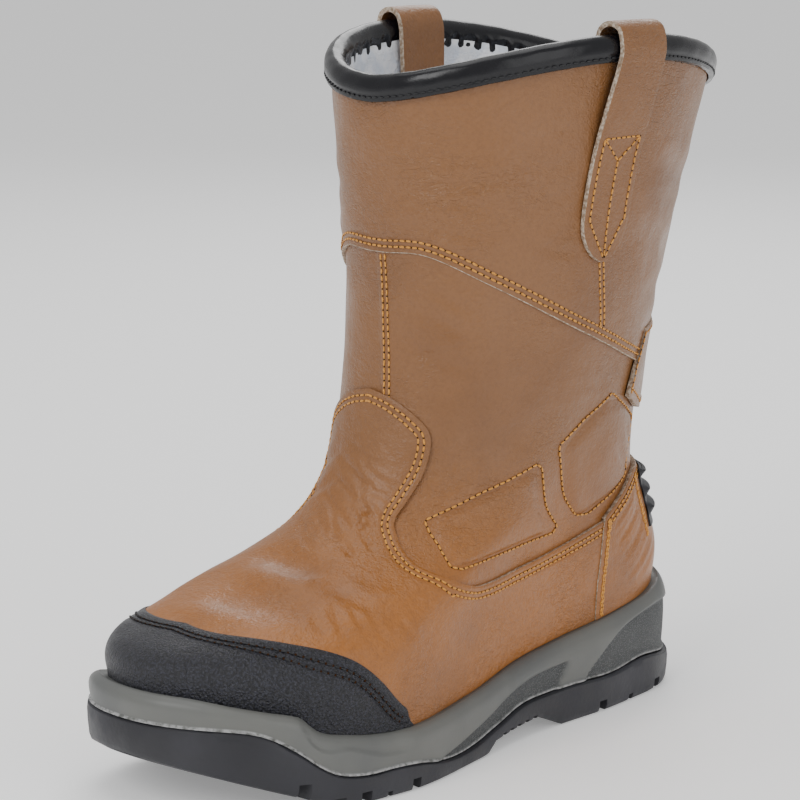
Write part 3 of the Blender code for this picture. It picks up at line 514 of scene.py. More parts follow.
class Recipe:
    """A material under construction: its shader and short ways to add texture nodes."""

    def __init__(self, name, colour, rough, specular=0.5):
        self.material = bpy.data.materials.new(name)
        self.material.use_nodes = True
        self.tree = self.material.node_tree
        self.shader = self.tree.nodes["Principled BSDF"]
        self.shader.inputs["Base Color"].default_value = (*colour, 1)
        self.shader.inputs["Roughness"].default_value = rough
        self.shader.inputs["Specular IOR Level"].default_value = specular
        self.place = self.node("ShaderNodeTexCoord").outputs["Object"]

    def node(self, kind, **values):
        made = self.tree.nodes.new(kind)
        for key, value in values.items():
            socket = made.inputs[key.replace("_", " ")]
            if isinstance(value, bpy.types.NodeSocket):
                self.tree.links.new(value, socket)
            else:
                socket.default_value = value
        return made

    def stretched(self, scale, turn=(0, 0, 0)):
        return self.node("ShaderNodeMapping", Vector=self.place, Scale=scale,
                         Rotation=turn).outputs[0]

    def cloud(self, scale, detail=3.0, distortion=0.0, place=None, rough=0.55):
        return self.node("ShaderNodeTexNoise", Vector=place or self.place, Scale=scale,
                         Detail=detail, Roughness=rough, Distortion=distortion).outputs["Fac"]

    def cells(self, scale, feature="F1", place=None):
        made = self.node("ShaderNodeTexVoronoi", Vector=place or self.place, Scale=scale)
        made.feature = feature
        return made.outputs["Distance"]

    def sum(self, a, b, share=1.0):
        scaled = self.node("ShaderNodeMath")
        scaled.operation = "MULTIPLY_ADD"
        self.tree.links.new(b, scaled.inputs[0])
        scaled.inputs[1].default_value = share
        self.tree.links.new(a, scaled.inputs[2])
        return scaled.outputs[0]

    def times(self, a, b):
        made = self.node("ShaderNodeMath")
        made.operation = "MULTIPLY"
        self.tree.links.new(a, made.inputs[0])
        if isinstance(b, bpy.types.NodeSocket):
            self.tree.links.new(b, made.inputs[1])
        else:
            made.inputs[1].default_value = b
        return made.outputs[0]

    def span(self, value, low, high, to_low=0.0, to_high=1.0):
        made = self.node("ShaderNodeMapRange", Value=value, From_Min=low, From_Max=high,
                         To_Min=to_low, To_Max=to_high)
        made.interpolation_type = "SMOOTHSTEP"
        return made.outputs[0]

    def lines(self, scale, width, place=None, detail=2.0, distortion=0.6):
        """Thin winding lines: 1 on a line, 0 off it."""
        field = self.cloud(scale, detail, distortion, place)
        off = self.node("ShaderNodeMath")
        off.operation = "SUBTRACT"
        self.tree.links.new(field, off.inputs[0])
        off.inputs[1].default_value = 0.5
        size = self.node("ShaderNodeMath")
        size.operation = "ABSOLUTE"
        self.tree.links.new(off.outputs[0], size.inputs[0])
        return self.span(size.outputs[0], 0.0, width, 1.0, 0.0)

    def height(self):
        split = self.node("ShaderNodeSeparateXYZ", Vector=self.place)
        return split.outputs["Z"]

    def mark(self, name):
        made = self.node("ShaderNodeAttribute")
        made.attribute_name = name
        return made.outputs["Fac"]

    def mix(self, share, a, b):
        made = self.tree.nodes.new("ShaderNodeMix")
        made.data_type = "RGBA"
        self.tree.links.new(share, made.inputs[0])
        for value, socket in ((a, made.inputs[6]), (b, made.inputs[7])):
            if isinstance(value, bpy.types.NodeSocket):
                self.tree.links.new(value, socket)
            else:
                socket.default_value = (*value, 1)
        return made.outputs[2]

    def colour(self, socket):
        self.tree.links.new(socket, self.shader.inputs["Base Color"])

    def gloss(self, socket):
        self.tree.links.new(socket, self.shader.inputs["Roughness"])

    def relief(self, height, distance, strength=1.0):
        made = self.node("ShaderNodeBump", Height=height, Distance=distance, Strength=strength)
        self.tree.links.new(made.outputs["Normal"], self.shader.inputs["Normal"])


def tan_leather(name="tan_leather", shade=1.0):
    """Oiled tan grain leather: warmer low on the foot, duller up the leg, with a painted sheen
    along the creases.
    """
    r = Recipe(name, (0.36, 0.16, 0.05), 0.45)
    warm = tuple(v * shade for v in (0.340, 0.118, 0.017))
    dull = tuple(v * shade for v in (0.225, 0.096, 0.030))
    dark = tuple(v * shade for v in (0.135, 0.052, 0.013))
    # Painted highlight colour for the sheen on the crease lines.
    sheen_tint = tuple(v * shade for v in (0.42, 0.225, 0.095))
    body = r.mix(r.span(r.height(), 0.055, 0.135), warm, dull)
    body = r.mix(r.times(r.span(r.cloud(17, 3), 0.45, 0.75), 0.45), body, dark)
    wrinkle = r.lines(95, 0.030, r.stretched((1.0, 1.0, 2.3)), 2.0, 0.3)
    fine = r.lines(330, 0.05, r.stretched((1.0, 1.0, 1.4), (0.3, 0.2, 0.0)), 2.0, 0.2)
    patch = r.span(r.cloud(24, 2), 0.40, 0.66)
    # The crease mask gives the crease relief and also paints a sheen onto the creases.
    crease_and_sheen = r.times(wrinkle, patch)
    body = r.mix(r.times(crease_and_sheen, 0.10), body, sheen_tint)
    body = r.mix(r.times(r.span(r.cloud(620, 2), 0.40, 0.7), 0.22), body, dark)
    r.colour(body)
    r.gloss(r.span(r.cloud(40, 4), 0.3, 0.7, 0.33, 0.47))
    grain = r.cells(1150, "SMOOTH_F1")
    height = r.sum(r.times(grain, 0.5), r.cloud(900, 3), 0.5)
    height = r.sum(height, crease_and_sheen, -0.5)
    height = r.sum(height, r.times(fine, patch), -0.4)
    height = r.sum(height, r.cloud(210, 4), 2.4)
    r.relief(height, 0.00036, 0.85)
    r.shader.inputs["Coat Weight"].default_value = 0.12
    r.shader.inputs["Coat Roughness"].default_value = 0.30
    return r.material


def raw_edge():
    r = Recipe("raw_edge", (0.30, 0.22, 0.15), 0.9, 0.2)
    r.colour(r.mix(r.span(r.cloud(700, 4), 0.35, 0.7), (0.26, 0.18, 0.12), (0.62, 0.53, 0.43)))
    r.relief(r.cloud(1500, 4), 0.0004, 0.8)
    return r.material


def pebbled_black():
    """Coated scuff leather of the toe cap: round raised pebbles, with a painted cool glint on
    their tops and painted shade between them.
    """
    r = Recipe("pebbled_black", (0.016, 0.017, 0.022), 0.42)
    pebbles = r.cells(1150, "SMOOTH_F1")
    height = r.sum(r.times(pebbles, -1.0), r.cloud(1000, 4, 1.0), 1.6)
    # Painted glint and shade: lighter, bluer colour on the pebble tops, darker colour between the
    # pebbles.
    r.colour(r.mix(r.span(pebbles, 0.15, 0.55), (0.026, 0.027, 0.040), (0.006, 0.006, 0.009)))
    r.gloss(r.span(r.cloud(60, 3), 0.3, 0.7, 0.30, 0.44))
    r.relief(height, 0.0006, 1.0)
    return r.material


def binding_hide():
    r = Recipe("binding_hide", (0.004, 0.004, 0.006), 0.26, 0.40)
    r.gloss(r.span(r.cloud(120, 4), 0.3, 0.7, 0.18, 0.30))
    height = r.sum(r.cloud(260, 3), r.cells(1500, "SMOOTH_F1"), 0.25)
    r.relief(height, 0.00014, 0.5)
    return r.material


def fleece():
    r = Recipe("fleece", (0.78, 0.82, 0.88), 0.95, 0.15)
    r.colour(r.mix(r.span(r.cloud(150, 5), 0.35, 0.65), (0.74, 0.79, 0.88), (0.94, 0.95, 0.98)))
    r.relief(r.sum(r.cloud(420, 6), r.cloud(1400, 4), 0.5), 0.0012, 1.0)
    r.shader.inputs["Sheen Weight"].default_value = 0.4
    r.shader.inputs["Sheen Roughness"].default_value = 0.6
    return r.material


def midsole_foam():
    """Moulded grey foam: grained in the hollows, smooth bands, pale flash by the outsole; the
    light and shade of the grain are painted into its colour.
    """
    r = Recipe("midsole_foam", (0.115, 0.118, 0.112), 0.55)
    hollow, flash = r.mark("hollow"), r.mark("flash")
    body = r.mix(r.span(r.cloud(22, 3), 0.3, 0.7), (0.098, 0.102, 0.100), (0.128, 0.130, 0.120))
    # Painted light and shade of the grain in the hollows: pale on the grain tops, dark in the
    # pits, darker overall than the smooth bands.
    grain_light_shade = r.mix(r.span(r.cells(1500), 0.12, 0.5), (0.155, 0.160, 0.160), (0.062, 0.065, 0.066))
    body = r.mix(hollow, body, grain_light_shade)
    rough_flash = r.times(flash, r.span(r.cloud(420, 4), 0.30, 0.62))
    body = r.mix(rough_flash, body, (0.40, 0.40, 0.40))
    r.colour(body)
    r.gloss(r.sum(r.span(r.cloud(55, 3), 0.3, 0.7, 0.40, 0.52), hollow, 0.22))
    height = r.sum(r.times(r.cloud(900, 2), 0.10), r.times(r.cells(1500), hollow), -1.1)
    height = r.sum(height, r.times(r.cloud(700, 4), flash), 1.4)
    r.relief(height, 0.0005, 0.8)
    return r.material


def tread_rubber():
    r = Recipe("tread_rubber", (0.020, 0.020, 0.026), 0.5)
    r.colour(r.mix(r.span(r.cloud(35, 5), 0.35, 0.72), (0.011, 0.011, 0.015),
                   (0.026, 0.026, 0.033)))
    r.gloss(r.span(r.cloud(70, 4), 0.3, 0.7, 0.42, 0.62))
    r.relief(r.sum(r.cloud(500, 3), r.cloud(90, 3), 1.0), 0.00018, 0.7)
    return r.material


def thread(name, light, deep):
    r = Recipe(name, light, 0.5)
    twist = r.lines(1500, 0.12, r.stretched((1, 1, 1), (0.6, 0.4, 0.3)), 1.0, 0.0)
    r.colour(r.mix(r.times(twist, 0.6), light, deep))
    r.relief(twist, 0.00012, 0.6)
    return r.material


def hole_shade():
    """Painted shade of a needle hole, in dark brown."""
    r = Recipe("needle_hole", (0.016, 0.007, 0.003), 0.9, 0.1)
    r.colour(r.mix(r.cloud(800, 2), (0.050, 0.019, 0.005), (0.022, 0.008, 0.002)))
    return r.material


def footbed_cloth():
    r = Recipe("footbed_cloth", (0.30, 0.31, 0.33), 0.9, 0.2)
    r.colour(r.mix(r.span(r.cells(900), 0.1, 0.6), (0.36, 0.37, 0.39), (0.20, 0.21, 0.23)))
    r.relief(r.cells(900), 0.0004, 0.8)
    return r.material


def inset_line(phi, u, shift):
    """A line on the upper, phi and u in radians and parts, moved sideways by shift mm."""
    p = upper_point(u, phi)
    tangent = np.gradient(p, axis=0)
    tangent /= np.linalg.norm(tangent, axis=1, keepdims=True)
    across = np.cross(upper_normal(u, phi), tangent) * shift
    p_u = (upper_point(u + 0.002, phi) - upper_point(u - 0.002, phi)) / 0.004
    p_phi = (upper_point(u, phi + 0.01) - upper_point(u, phi - 0.01)) / 0.02
    a, b, d = (p_u * p_u).sum(1), (p_u * p_phi).sum(1), (p_phi * p_phi).sum(1)
    e, g = (across * p_u).sum(1), (across * p_phi).sum(1)
    det = a * d - b * b
    return phi + (a * g - b * e) / det, u + (d * e - b * g) / det


def seam(phi, u, shift, out):
    """Points and normals of a stitch row beside a line on the leather."""
    phi, u = inset_line(np.asarray(phi, float), np.asarray(u, float), shift)
    return leather(u, phi, out), upper_normal(u, phi)


def run(points, count=200):
    """Even points along straight runs between corners given as phi in degrees and u."""
    corners = np.array(points, float)
    q = np.linspace(0, len(corners) - 1, count)
    phi = np.interp(q, np.arange(len(corners)), corners[:, 0])
    u = np.interp(q, np.arange(len(corners)), corners[:, 1])
    return np.radians(phi), u


def rounded(points, count=400, soft=9):
    """A closed run with its corners rounded."""
    corners = list(points) + [points[0]]
    phi, u = run(corners, count)
    kernel = np.ones(soft) / soft
    phi = np.convolve(np.concatenate([phi[-soft:-1], phi, phi[1:soft]]), kernel, "same")
    u = np.convolve(np.concatenate([u[-soft:-1], u, u[1:soft]]), kernel, "same")
    return phi[soft - 1:-soft + 1], u[soft - 1:-soft + 1]


def one_stitch(long, wide, high):
    """One thread loop lying between two needle holes, as vertices and faces."""
    bpy.ops.mesh.primitive_uv_sphere_add(segments=6, ring_count=5, radius=0.5)
    made = bpy.context.object
    bpy.ops.transform.rotate(value=math.pi / 2, orient_axis="Y", center_override=(0, 0, 0))
    bpy.ops.object.transform_apply(location=False, rotation=True, scale=False)
    points = np.array([v.co for v in made.data.vertices])
    faces = [tuple(p.vertices) for p in made.data.polygons]
    bpy.data.objects.remove(made, do_unlink=True)
    return points * (long, wide, high), faces


def sew(name, rows, material, long=STITCH_LONG, wide=STITCH_WIDE, high=0.75,
        pitch=STITCH_PITCH, lean=5.0, zigzag=0.0, offset=0.0, lift=0.12):
    """Repeat one stitch along rows of points and normals, and join the copies."""
    shape, shape_faces = one_stitch(long, wide, high)
    all_points, all_faces = [], []
    base = 0
    for points, normals in rows:
        gaps = np.linalg.norm(np.diff(points, axis=0), axis=1)
        travel = np.concatenate([[0], np.cumsum(gaps)])
        count = max(int(round(travel[-1] / pitch)), 1)
        for i in range(count):
            where = (i + 0.5 + offset) * travel[-1] / count
            at = np.array([np.interp(where, travel, points[:, k]) for k in range(3)])
            ahead = np.array([np.interp(min(where + 0.8, travel[-1]), travel, points[:, k])
                              for k in range(3)])
            behind = np.array([np.interp(max(where - 0.8, 0), travel, points[:, k])
                               for k in range(3)])
            n = np.array([np.interp(where, travel, normals[:, k]) for k in range(3)])
            n /= np.linalg.norm(n)
            t = ahead - behind
            t = t - n * (t @ n)
            t /= np.linalg.norm(t) + 1e-9
            turn = math.radians(lean * math.sin(i * 2.4) + (zigzag if i % 2 else -zigzag))
            b = np.cross(n, t)
            t, b = t * math.cos(turn) + b * math.sin(turn), b * math.cos(turn) - t * math.sin(turn)
            size = 1 + 0.06 * math.sin(i * 5.1 + where)
            all_points.append(at + n * lift + (shape * size) @ np.array([t, b, n]))
            all_faces += [tuple(base + k for k in face) for face in shape_faces]
            base += len(shape)
    mesh = bpy.data.meshes.new(name)
    mesh.from_pydata([tuple(p) for p in to_world(np.concatenate(all_points))], [], all_faces)
    piece = bpy.data.objects.new(name, mesh)
    bpy.context.scene.collection.objects.link(piece)
    return finish(piece, [material], angle=80)


def front_lap(u, phi):
    """The outer quarter laps the inner one down the front, between the vamp and the leg."""
    line = np.radians(line_through(sorted(FRONT_SEAM), u, 1) - 2.2)
    return 0.9 * smooth((phi - line) / 0.02) * smooth((1.2 - phi) / 0.5) * smooth((u - 0.6) / 0.05)


def build_leg(tan, raw):
    """Leg leather, from its lower edge over the quarters to the collar."""
    phi = np.linspace(0, 2 * math.pi, 341)
    lap = table(LEG_EDGE, from_toe(phi))
    f = np.linspace(0, 1, 88)[:, None]
    u = lap + (0.998 - lap) * f
    grid = phi + 0 * u
    near = (u - lap) * 300
    points = leather(u, grid, LAP_STEP + 0.2 - 0.35 * np.exp(-((near - 2.6) / 1.0) ** 2)
                     - 0.35 * np.exp(-((near - 5.0) / 1.0) ** 2))
    piece = shaped_grid("leg_panel", points)
    face_outwards(piece, points, upper_normal(u, grid))
    weld(piece)
    finish(piece, [tan, raw], ["upper"], thick=1.7, rim=True, bevel=0.35)


def build_quarter(tan, raw):
    """Lower leather all the way round, under the overlays and the leg."""
    phi = np.linspace(0, 2 * math.pi, 341)
    top = table(LEG_EDGE, from_toe(phi)) + 0.012
    f = np.concatenate([np.linspace(0, 0.25, 18)[:-1], np.linspace(0.25, 1, 98)])[:, None]
    u = 0.02 + (top - 0.02) * f
    grid = phi + 0 * u
    turned = np.where(grid > math.pi, grid - 2 * math.pi, grid)
    points = leather(u, grid, front_lap(u, turned))
    piece = shaped_grid("quarters", points)
    face_outwards(piece, points, upper_normal(u, grid))
    weld(piece)
    finish(piece, [tan, raw], thick=1.2, rim=True)


def fine_steps(count, edge, near=3):
    """Steps from 0 to 1 with a few close ones at both ends, edge being the end share."""
    ends = np.linspace(0, edge, near + 1)
    return np.concatenate([ends[:-1], np.linspace(edge, 1 - edge, count), 1 - ends[:-1][::-1]])


def build_overlay(name, node, foot, top, a_steps, b_steps, level, material, raw,
                  sunk=(), thick=2.0, bevel=0.3):
    """A stitched piece on the quarters; sunk gives the distances in mm of its stitch rows."""
    u, phi = panel_grid(foot, top, a_steps, b_steps)
    base = upper_point(u, phi)
    from_top = np.full(u.shape, 1e9)
    for point in base[-1]:
        from_top = np.minimum(from_top, np.linalg.norm(base - point, axis=2))
    out = np.full(u.shape, float(level))
    out -= 0.45 * np.exp(-(from_top / 0.7) ** 2)
    for row in sunk:
        out -= 0.32 * np.exp(-((from_top - row) / 0.9) ** 2)
    points = leather(u, phi, out)
    piece = shaped_grid(name, points)
    face_outwards(piece, points, upper_normal(u, phi))
    finish(piece, [material, raw], [node], thick=thick, rim=True, bevel=bevel)
    return piece


def build_pad(name, tan, mirror):
    """Padded patch: the same leather swelling up inside its row of stitches."""
    foot, top = PAD_GRIDS[name.rsplit("_", 1)[0]]
    steps = np.linspace(0, 1, 64)
    u, phi = panel_grid(foot, top, steps, steps)
    if mirror:
        phi = -phi
    a, b = np.meshgrid(steps, steps)
    rise = (smooth(np.minimum(a, 1 - a) * 7) * smooth(np.minimum(b, 1 - b) * 8)) ** 0.7
    crown = 0.55 + 0.45 * np.sin(math.pi * a) * np.sin(math.pi * b)
    points = leather(u, phi, -0.5 + (PAD_SWELL + 0.5) * rise * crown)
    piece = shaped_grid("padded_" + name, points)
    face_outwards(piece, points, upper_normal(u, phi))
    finish(piece, [tan], [name], thick=1.0)


def strap_point(u, phi, side, along, out):
    """Point beside the centre line of a strap on the leg; along is measured along the foot."""
    here, there = upper_point(u, phi), upper_point(u, phi + 0.02)
    turn = along / np.linalg.norm(there - here) * 0.02
    return wall(np.asarray(u), np.asarray(side * (phi - turn)), out)


def collar_point(phi, side, along, out, up_by):
    """Point over the collar, on the straight rail of a strap."""
    here, there = upper_point(1.0, phi), upper_point(1.0, phi + 0.02)
    turn = along / np.linalg.norm(there - here) * 0.02
    edge = upper_point(1.0, side * (phi - turn))
    middle, outward = collar_frame(side * phi)[:2]
    point = np.array([edge[0], edge[1], (edge[2] + middle[2]) / 2])
    return point + outward * out + np.array([0, 0, up_by])


def strap_stations(side, across):
    """Outer face of a pull loop: up the leg, over the collar, down inside."""
    half = STRAP_WIDTH / 2
    stations = []
    for u, factor, low in LOOP_ON_LEG:
        phi = math.radians(float(table(LOOP_PHI, u)))
        stations.append([strap_point(u, phi, side, a * half * factor, low + STRAP_THICK)
                         for a in across])
    for i, (o, h) in enumerate(LOOP_OVER):
        before = LOOP_OVER[max(i - 1, 0)]
        after = LOOP_OVER[min(i + 1, len(LOOP_OVER) - 1)]
        way = np.array([after[0] - before[0], after[1] - before[1]], float)
        way = way / np.linalg.norm(way) * STRAP_THICK / 2
        stations.append([collar_point(math.radians(STRAP_PHI), side, a * half, o + way[1],
                                      h - way[0]) for a in across])
    for u, low in LOOP_INSIDE:
        stations.append([strap_point(u, math.radians(STRAP_PHI), side, a * half, -low)
                         for a in across])
    return np.array(stations)


def build_strap(side, tan, raw):
    across = np.linspace(1, -1, 15)
    stations = strap_stations(side, across)
    middle = stations[:, 7]
    travel = np.concatenate([[0], np.cumsum(np.linalg.norm(np.diff(middle, axis=0), axis=1))])
    tip = np.linspace(0, travel[5], 30)[:-1]
    rest = np.linspace(travel[5], travel[-1], 90)
    places = np.concatenate([tip, rest])[:, None, None]
    points = curve_through(travel, list(stations[:, None]), places)
    name = "outer" if side > 0 else "inner"
    piece = shaped_grid("strap_" + name, points)
    n = upper_normal(0.88, side * math.radians(84))
    on_leg = to_world(points[40, 7])
    face = min(piece.data.polygons, key=lambda f: np.linalg.norm(np.array(f.center) - on_leg))
    if Vector((n[1], -n[0], n[2])).dot(face.normal) < 0:
        edit(piece, (bpy.ops.mesh.flip_normals, {}))
    finish(piece, [tan, raw], ["pull_loop_" + name], thick=STRAP_THICK,
           rim=True, bevel=0.45)


def strap_line(side, corners):
    """Stitch row on a strap: corners are u and the place across it, in mm."""
    points, normals = [], []
    for (u_a, x_a), (u_b, x_b) in zip(corners[:-1], corners[1:]):
        for q in np.linspace(0, 1, 12):
            u, x = u_a + (u_b - u_a) * q, x_a + (x_b - x_a) * q
            phi = math.radians(float(table(LOOP_PHI, u)))
            low = float(table(tuple((r[0], r[2]) for r in LOOP_ON_LEG), u)) + STRAP_THICK
            points.append(strap_point(u, phi, side, x, low))
            normals.append(upper_normal(u, side * phi))
    keep = [0] + [i for i in range(1, len(points))
                  if np.linalg.norm(points[i] - points[i - 1]) > 1e-6]
    return np.array(points)[keep], np.array(normals)[keep]


def build_binding(hide):
    count = 420
    phi = np.linspace(0, 2 * math.pi, count + 1)
    edge, out, up = collar_frame(phi)
    section = list(BINDING_SECTION) + [BINDING_SECTION[0]]
    keys = np.arange(len(section), dtype=float)
    places = np.linspace(0, len(section) - 1, 57)
    o = curve_through(keys, [np.float64(r[0]) for r in section], places)
    h = curve_through(keys, [np.float64(r[1]) for r in section], places)
    rows = []
    for k, (a, b) in enumerate(zip(o, h)):
        q = places[k]
        inside = smooth((q - 6.5) / 1.5) * smooth((10.6 - q) / 1.0)
        pucker = inside * (0.55 * np.sin(phi * 61 + 0.6 * np.sin(phi * 7)) +
                           0.35 * np.sin(phi * 97 + 1.0))
        wobble = 0.05 * np.sin(phi * 23 + q) + 0.04 * np.sin(phi * 41 - 1.7 * q)
        groove = -0.55 * math.exp(-((q - 0.75) / 0.22) ** 2)
        grow = pucker + wobble + groove
        away = np.array([a, b - 0.5])
        away = away / (np.linalg.norm(away) + 1e-6)
        rows.append(edge + out * (a + away[0] * grow)[:, None]
                    + up * (b + away[1] * grow)[:, None])
    points = np.array(rows)
    piece = shaped_grid("padded_binding", points)
    close_round(piece)
    finish(piece, [hide], ["collar_binding"])


def build_lining(wool):
    phi = np.linspace(0, 2 * math.pi, 241)
    u = np.linspace(0.993, 0.09, 96)[:, None] + 0 * phi
    grid = phi + 0 * u
    base = upper_point(u, grid)
    tuft = np.zeros(u.shape)
    for i in range(u.shape[0]):
        for j in range(u.shape[1] - 1):
            p = Vector(base[i, j]) * 0.16
            tuft[i, j] = noise.noise(p) + 0.6 * noise.noise(p * 2.3)
    tuft[:, -1] = tuft[:, 0]
    depth = -4.2 - 1.3 * tuft * smooth((0.999 - u) / 0.02)
    points = base + upper_normal(u, grid) * depth[..., None]
    piece = shaped_grid("fleece_lining", points)
    face_outwards(piece, points, -upper_normal(u, grid))
    weld(piece)
    finish(piece, [wool], thick=1.5, angle=180)


def hollow_share(s, z):
    """1 in the grained hollows of the midsole side, 0 on its smooth bands and heel rib."""
    left = 83 + (32.7 - z) * 0.55
    right = 62 + (29.3 - z) * 1.07
    fore = smooth((s - left) / 1.6) * smooth((table(HOLLOW_FORE, s) - z) / 1.4)
    rear = smooth((right - s) / 1.6) * smooth((table(HOLLOW_REAR, s) - z) / 1.4)
    fore = fore * (1 - smooth((s - 196) / 10))
    return np.maximum(fore, rear)


def build_midsole(foam):
    phi = np.linspace(0, 2 * math.pi, 461)
    nominal = SOLE_BACK + (SOLE_TOE - SOLE_BACK) * (1 + np.cos(phi)) / 2
    low = table(OUTSOLE_TOP, nominal) + 0.1
    lip = table(MIDSOLE_LIP, nominal)
    ks = np.concatenate([[0.0, 0.008, 0.015, 0.028, 0.04, 0.055, 0.07, 0.085],
                         np.linspace(0.10, 0.86, 34), np.linspace(0.88, 1.0, 9)])
    rows, hollows, flashes = [], [], []
    s, c = sole_ring(phi, -SOLE_CORE)
    rows.append(np.stack([s, c, low], -1))
    hollows.append(0 * phi)
    flashes.append(0 * phi)
    for k in ks:
        z = low + (lip - low) * k
        share = hollow_share(nominal, z)
        step = smooth((z - table(TOE_STEP, nominal)) / 2.0) * smooth((nominal - 194) / 12) \
            * (1 - smooth((nominal - 247) / 4))
        notch = smooth((125.5 - nominal) / 1.2) * smooth((nominal - 92) / 22) \
            * smooth((z - table(HOLLOW_FORE, nominal)) / 1.5) * smooth((1.0 - k) / 0.15)
        rib = smooth((nominal - 60) / 8) * smooth((92 - nominal) / 8) * smooth((0.8 - k) / 0.4)
        grow = table(MIDSOLE_SIDE, k) - 1.35 * share - 1.5 * step + 0.5 * notch \
            + 0.35 * rib * (1 - share)
        s, c = sole_ring_varied(phi, grow)
        height = z if k < 1.0 else table(MIDSOLE_LIP, s)
        rows.append(np.stack([s, c, height], -1))
        hollows.append(share * smooth(k / 0.10) * smooth((0.98 - k) / 0.05))
        flashes.append(1 - smooth((z - low - 0.9) / 0.8))
    for inset, drop in ((-5.6, -0.2), (-6.6, -0.1), (-7.8, -0.4), (-7.9, -7.2),
                        (-SOLE_CORE, -7.4)):
        s, c = sole_ring(phi, inset)
        rows.append(np.stack([s, c, table(MIDSOLE_LIP, s) + drop], -1))
        hollows.append(0 * phi)
        flashes.append(0 * phi)
    points = np.array(rows)
    piece = shaped_grid("midsole_foam", points,
                        {"hollow": np.array(hollows), "flash": np.array(flashes)})
    edit(piece, (bpy.ops.mesh.remove_doubles, {"threshold": WELD_GAP}),
         (bpy.ops.mesh.fill_holes, {"sides": 0}),
         (bpy.ops.mesh.normals_make_consistent, {"inside": False}))
    finish(piece, [foam], ["midsole"], angle=60)


def sole_ring_varied(phi, grow):
    """The sole outline grown by a different amount at every angle."""
    s0, c0 = sole_ring(phi, 0.0)
    d = 1e-3
    s1, c1 = sole_ring(phi + d, 0.0)
    s2, c2 = sole_ring(phi - d, 0.0)
    t = np.stack([s1 - s2, c1 - c2], -1)
    t /= np.linalg.norm(t, axis=1, keepdims=True) + 1e-12
    n = np.stack([t[:, 1], -t[:, 0]], -1)
    n[0] = n[-1] = (1.0, 0.0)
    return s0 + n[:, 0] * grow, c0 + n[:, 1] * grow


def cut_grooves(body, grooves):
    """Take a set of box grooves that don't meet each other out of a body in one cut."""
    boxes = []
    for place, size, slant in grooves:
        bpy.ops.mesh.primitive_cube_add(size=1, location=tuple(to_world(place)),
                                        rotation=(0, 0, math.radians(slant)))
        box = bpy.context.object
        box.scale = (size[1] / 1000, size[0] / 1000, size[2] / 1000)
        boxes.append(box)
    bpy.ops.object.select_all(action="DESELECT")
    for box in boxes:
        box.select_set(True)
    bpy.context.view_layer.objects.active = boxes[0]
    bpy.ops.object.join()
    modifier = body.modifiers.new("grooves", "BOOLEAN")
    modifier.operation = "DIFFERENCE"
    modifier.solver = "EXACT"
    modifier.object = boxes[0]
    apply_all(body)
    bpy.data.objects.remove(boxes[0], do_unlink=True)


def build_outsole(rubber):
    phi = np.linspace(0, 2 * math.pi, 361)
    nominal = SOLE_BACK + (SOLE_TOE - SOLE_BACK) * (1 + np.cos(phi)) / 2
    top, tread = table(OUTSOLE_TOP, nominal), line_through(TREAD_LINE, nominal)
    rows = []
    s, c = sole_ring(phi, -2.2)
    middle = np.interp(s, [200, 291], [0.0, -TOE_SWING])
    for f in (0.0, 0.5):
        rows.append(np.stack([s, middle + (c - middle) * f, top], -1))
    for k, grow in OUTSOLE_SIDE:
        s, c = sole_ring(phi, grow)
        rows.append(np.stack([s, c, top + (tread - top) * k], -1))
    for f in (0.75, 0.4, 0.0):
        rows.append(np.stack([s, middle + (c - middle) * f, line_through(TREAD_LINE, s)], -1))
    piece = shaped_grid("tread", np.array(rows))
    close_round(piece)
    across = []
    for s, width, slant, depth in CROSS_GROOVES:
        lift = float(line_through(TREAD_LINE, s))
        across.append(((s, 0, lift - CUTTER_HEIGHT / 2 + depth),
                       (width, GROOVE_REACH, CUTTER_HEIGHT), slant))
    for s in RIB_GROOVES:
        lift = float(line_through(TREAD_LINE, s))
        across.append(((s, 0, lift - RIB_CUTTER_HEIGHT / 2 + RIB_DEPTH),
                       (RIB_WIDTH, GROOVE_REACH, RIB_CUTTER_HEIGHT), 0))
    cut_grooves(piece, across)
    cut_grooves(piece, [((s, c, LONG_GROOVE_DEPTH - CUTTER_HEIGHT / 2),
                         (length, LONG_GROOVE_WIDTH, CUTTER_HEIGHT), 0)
                        for s, length, c in LONG_GROOVES])
    finish(piece, [rubber], ["outsole"], bevel=0.35, angle=40)


def build_kick(rubber):
    phi = np.radians(np.linspace(KICK_SPAN[0], KICK_SPAN[1], 61))
    u_keys = [r[0] for r in KICK_ROWS]
    u = np.unique(np.concatenate([np.linspace(u_keys[0], u_keys[-1], 50), u_keys]))[:, None]
    ridge = line_through(KICK_ROWS, u)
    ends = smooth((phi - phi[0]) / 0.03) * smooth((phi[-1] - phi) / 0.03)
    points = wall(u + 0 * phi, phi + 0 * u, COUNTER_TOP + 0.9 + ridge * ends)
    piece = shaped_grid("kick_teeth", points)
    face_outwards(piece, points, upper_normal(u + 0 * phi, phi + 0 * u))
    finish(piece, [rubber], ["kick_strip"], thick=2.0, angle=20)


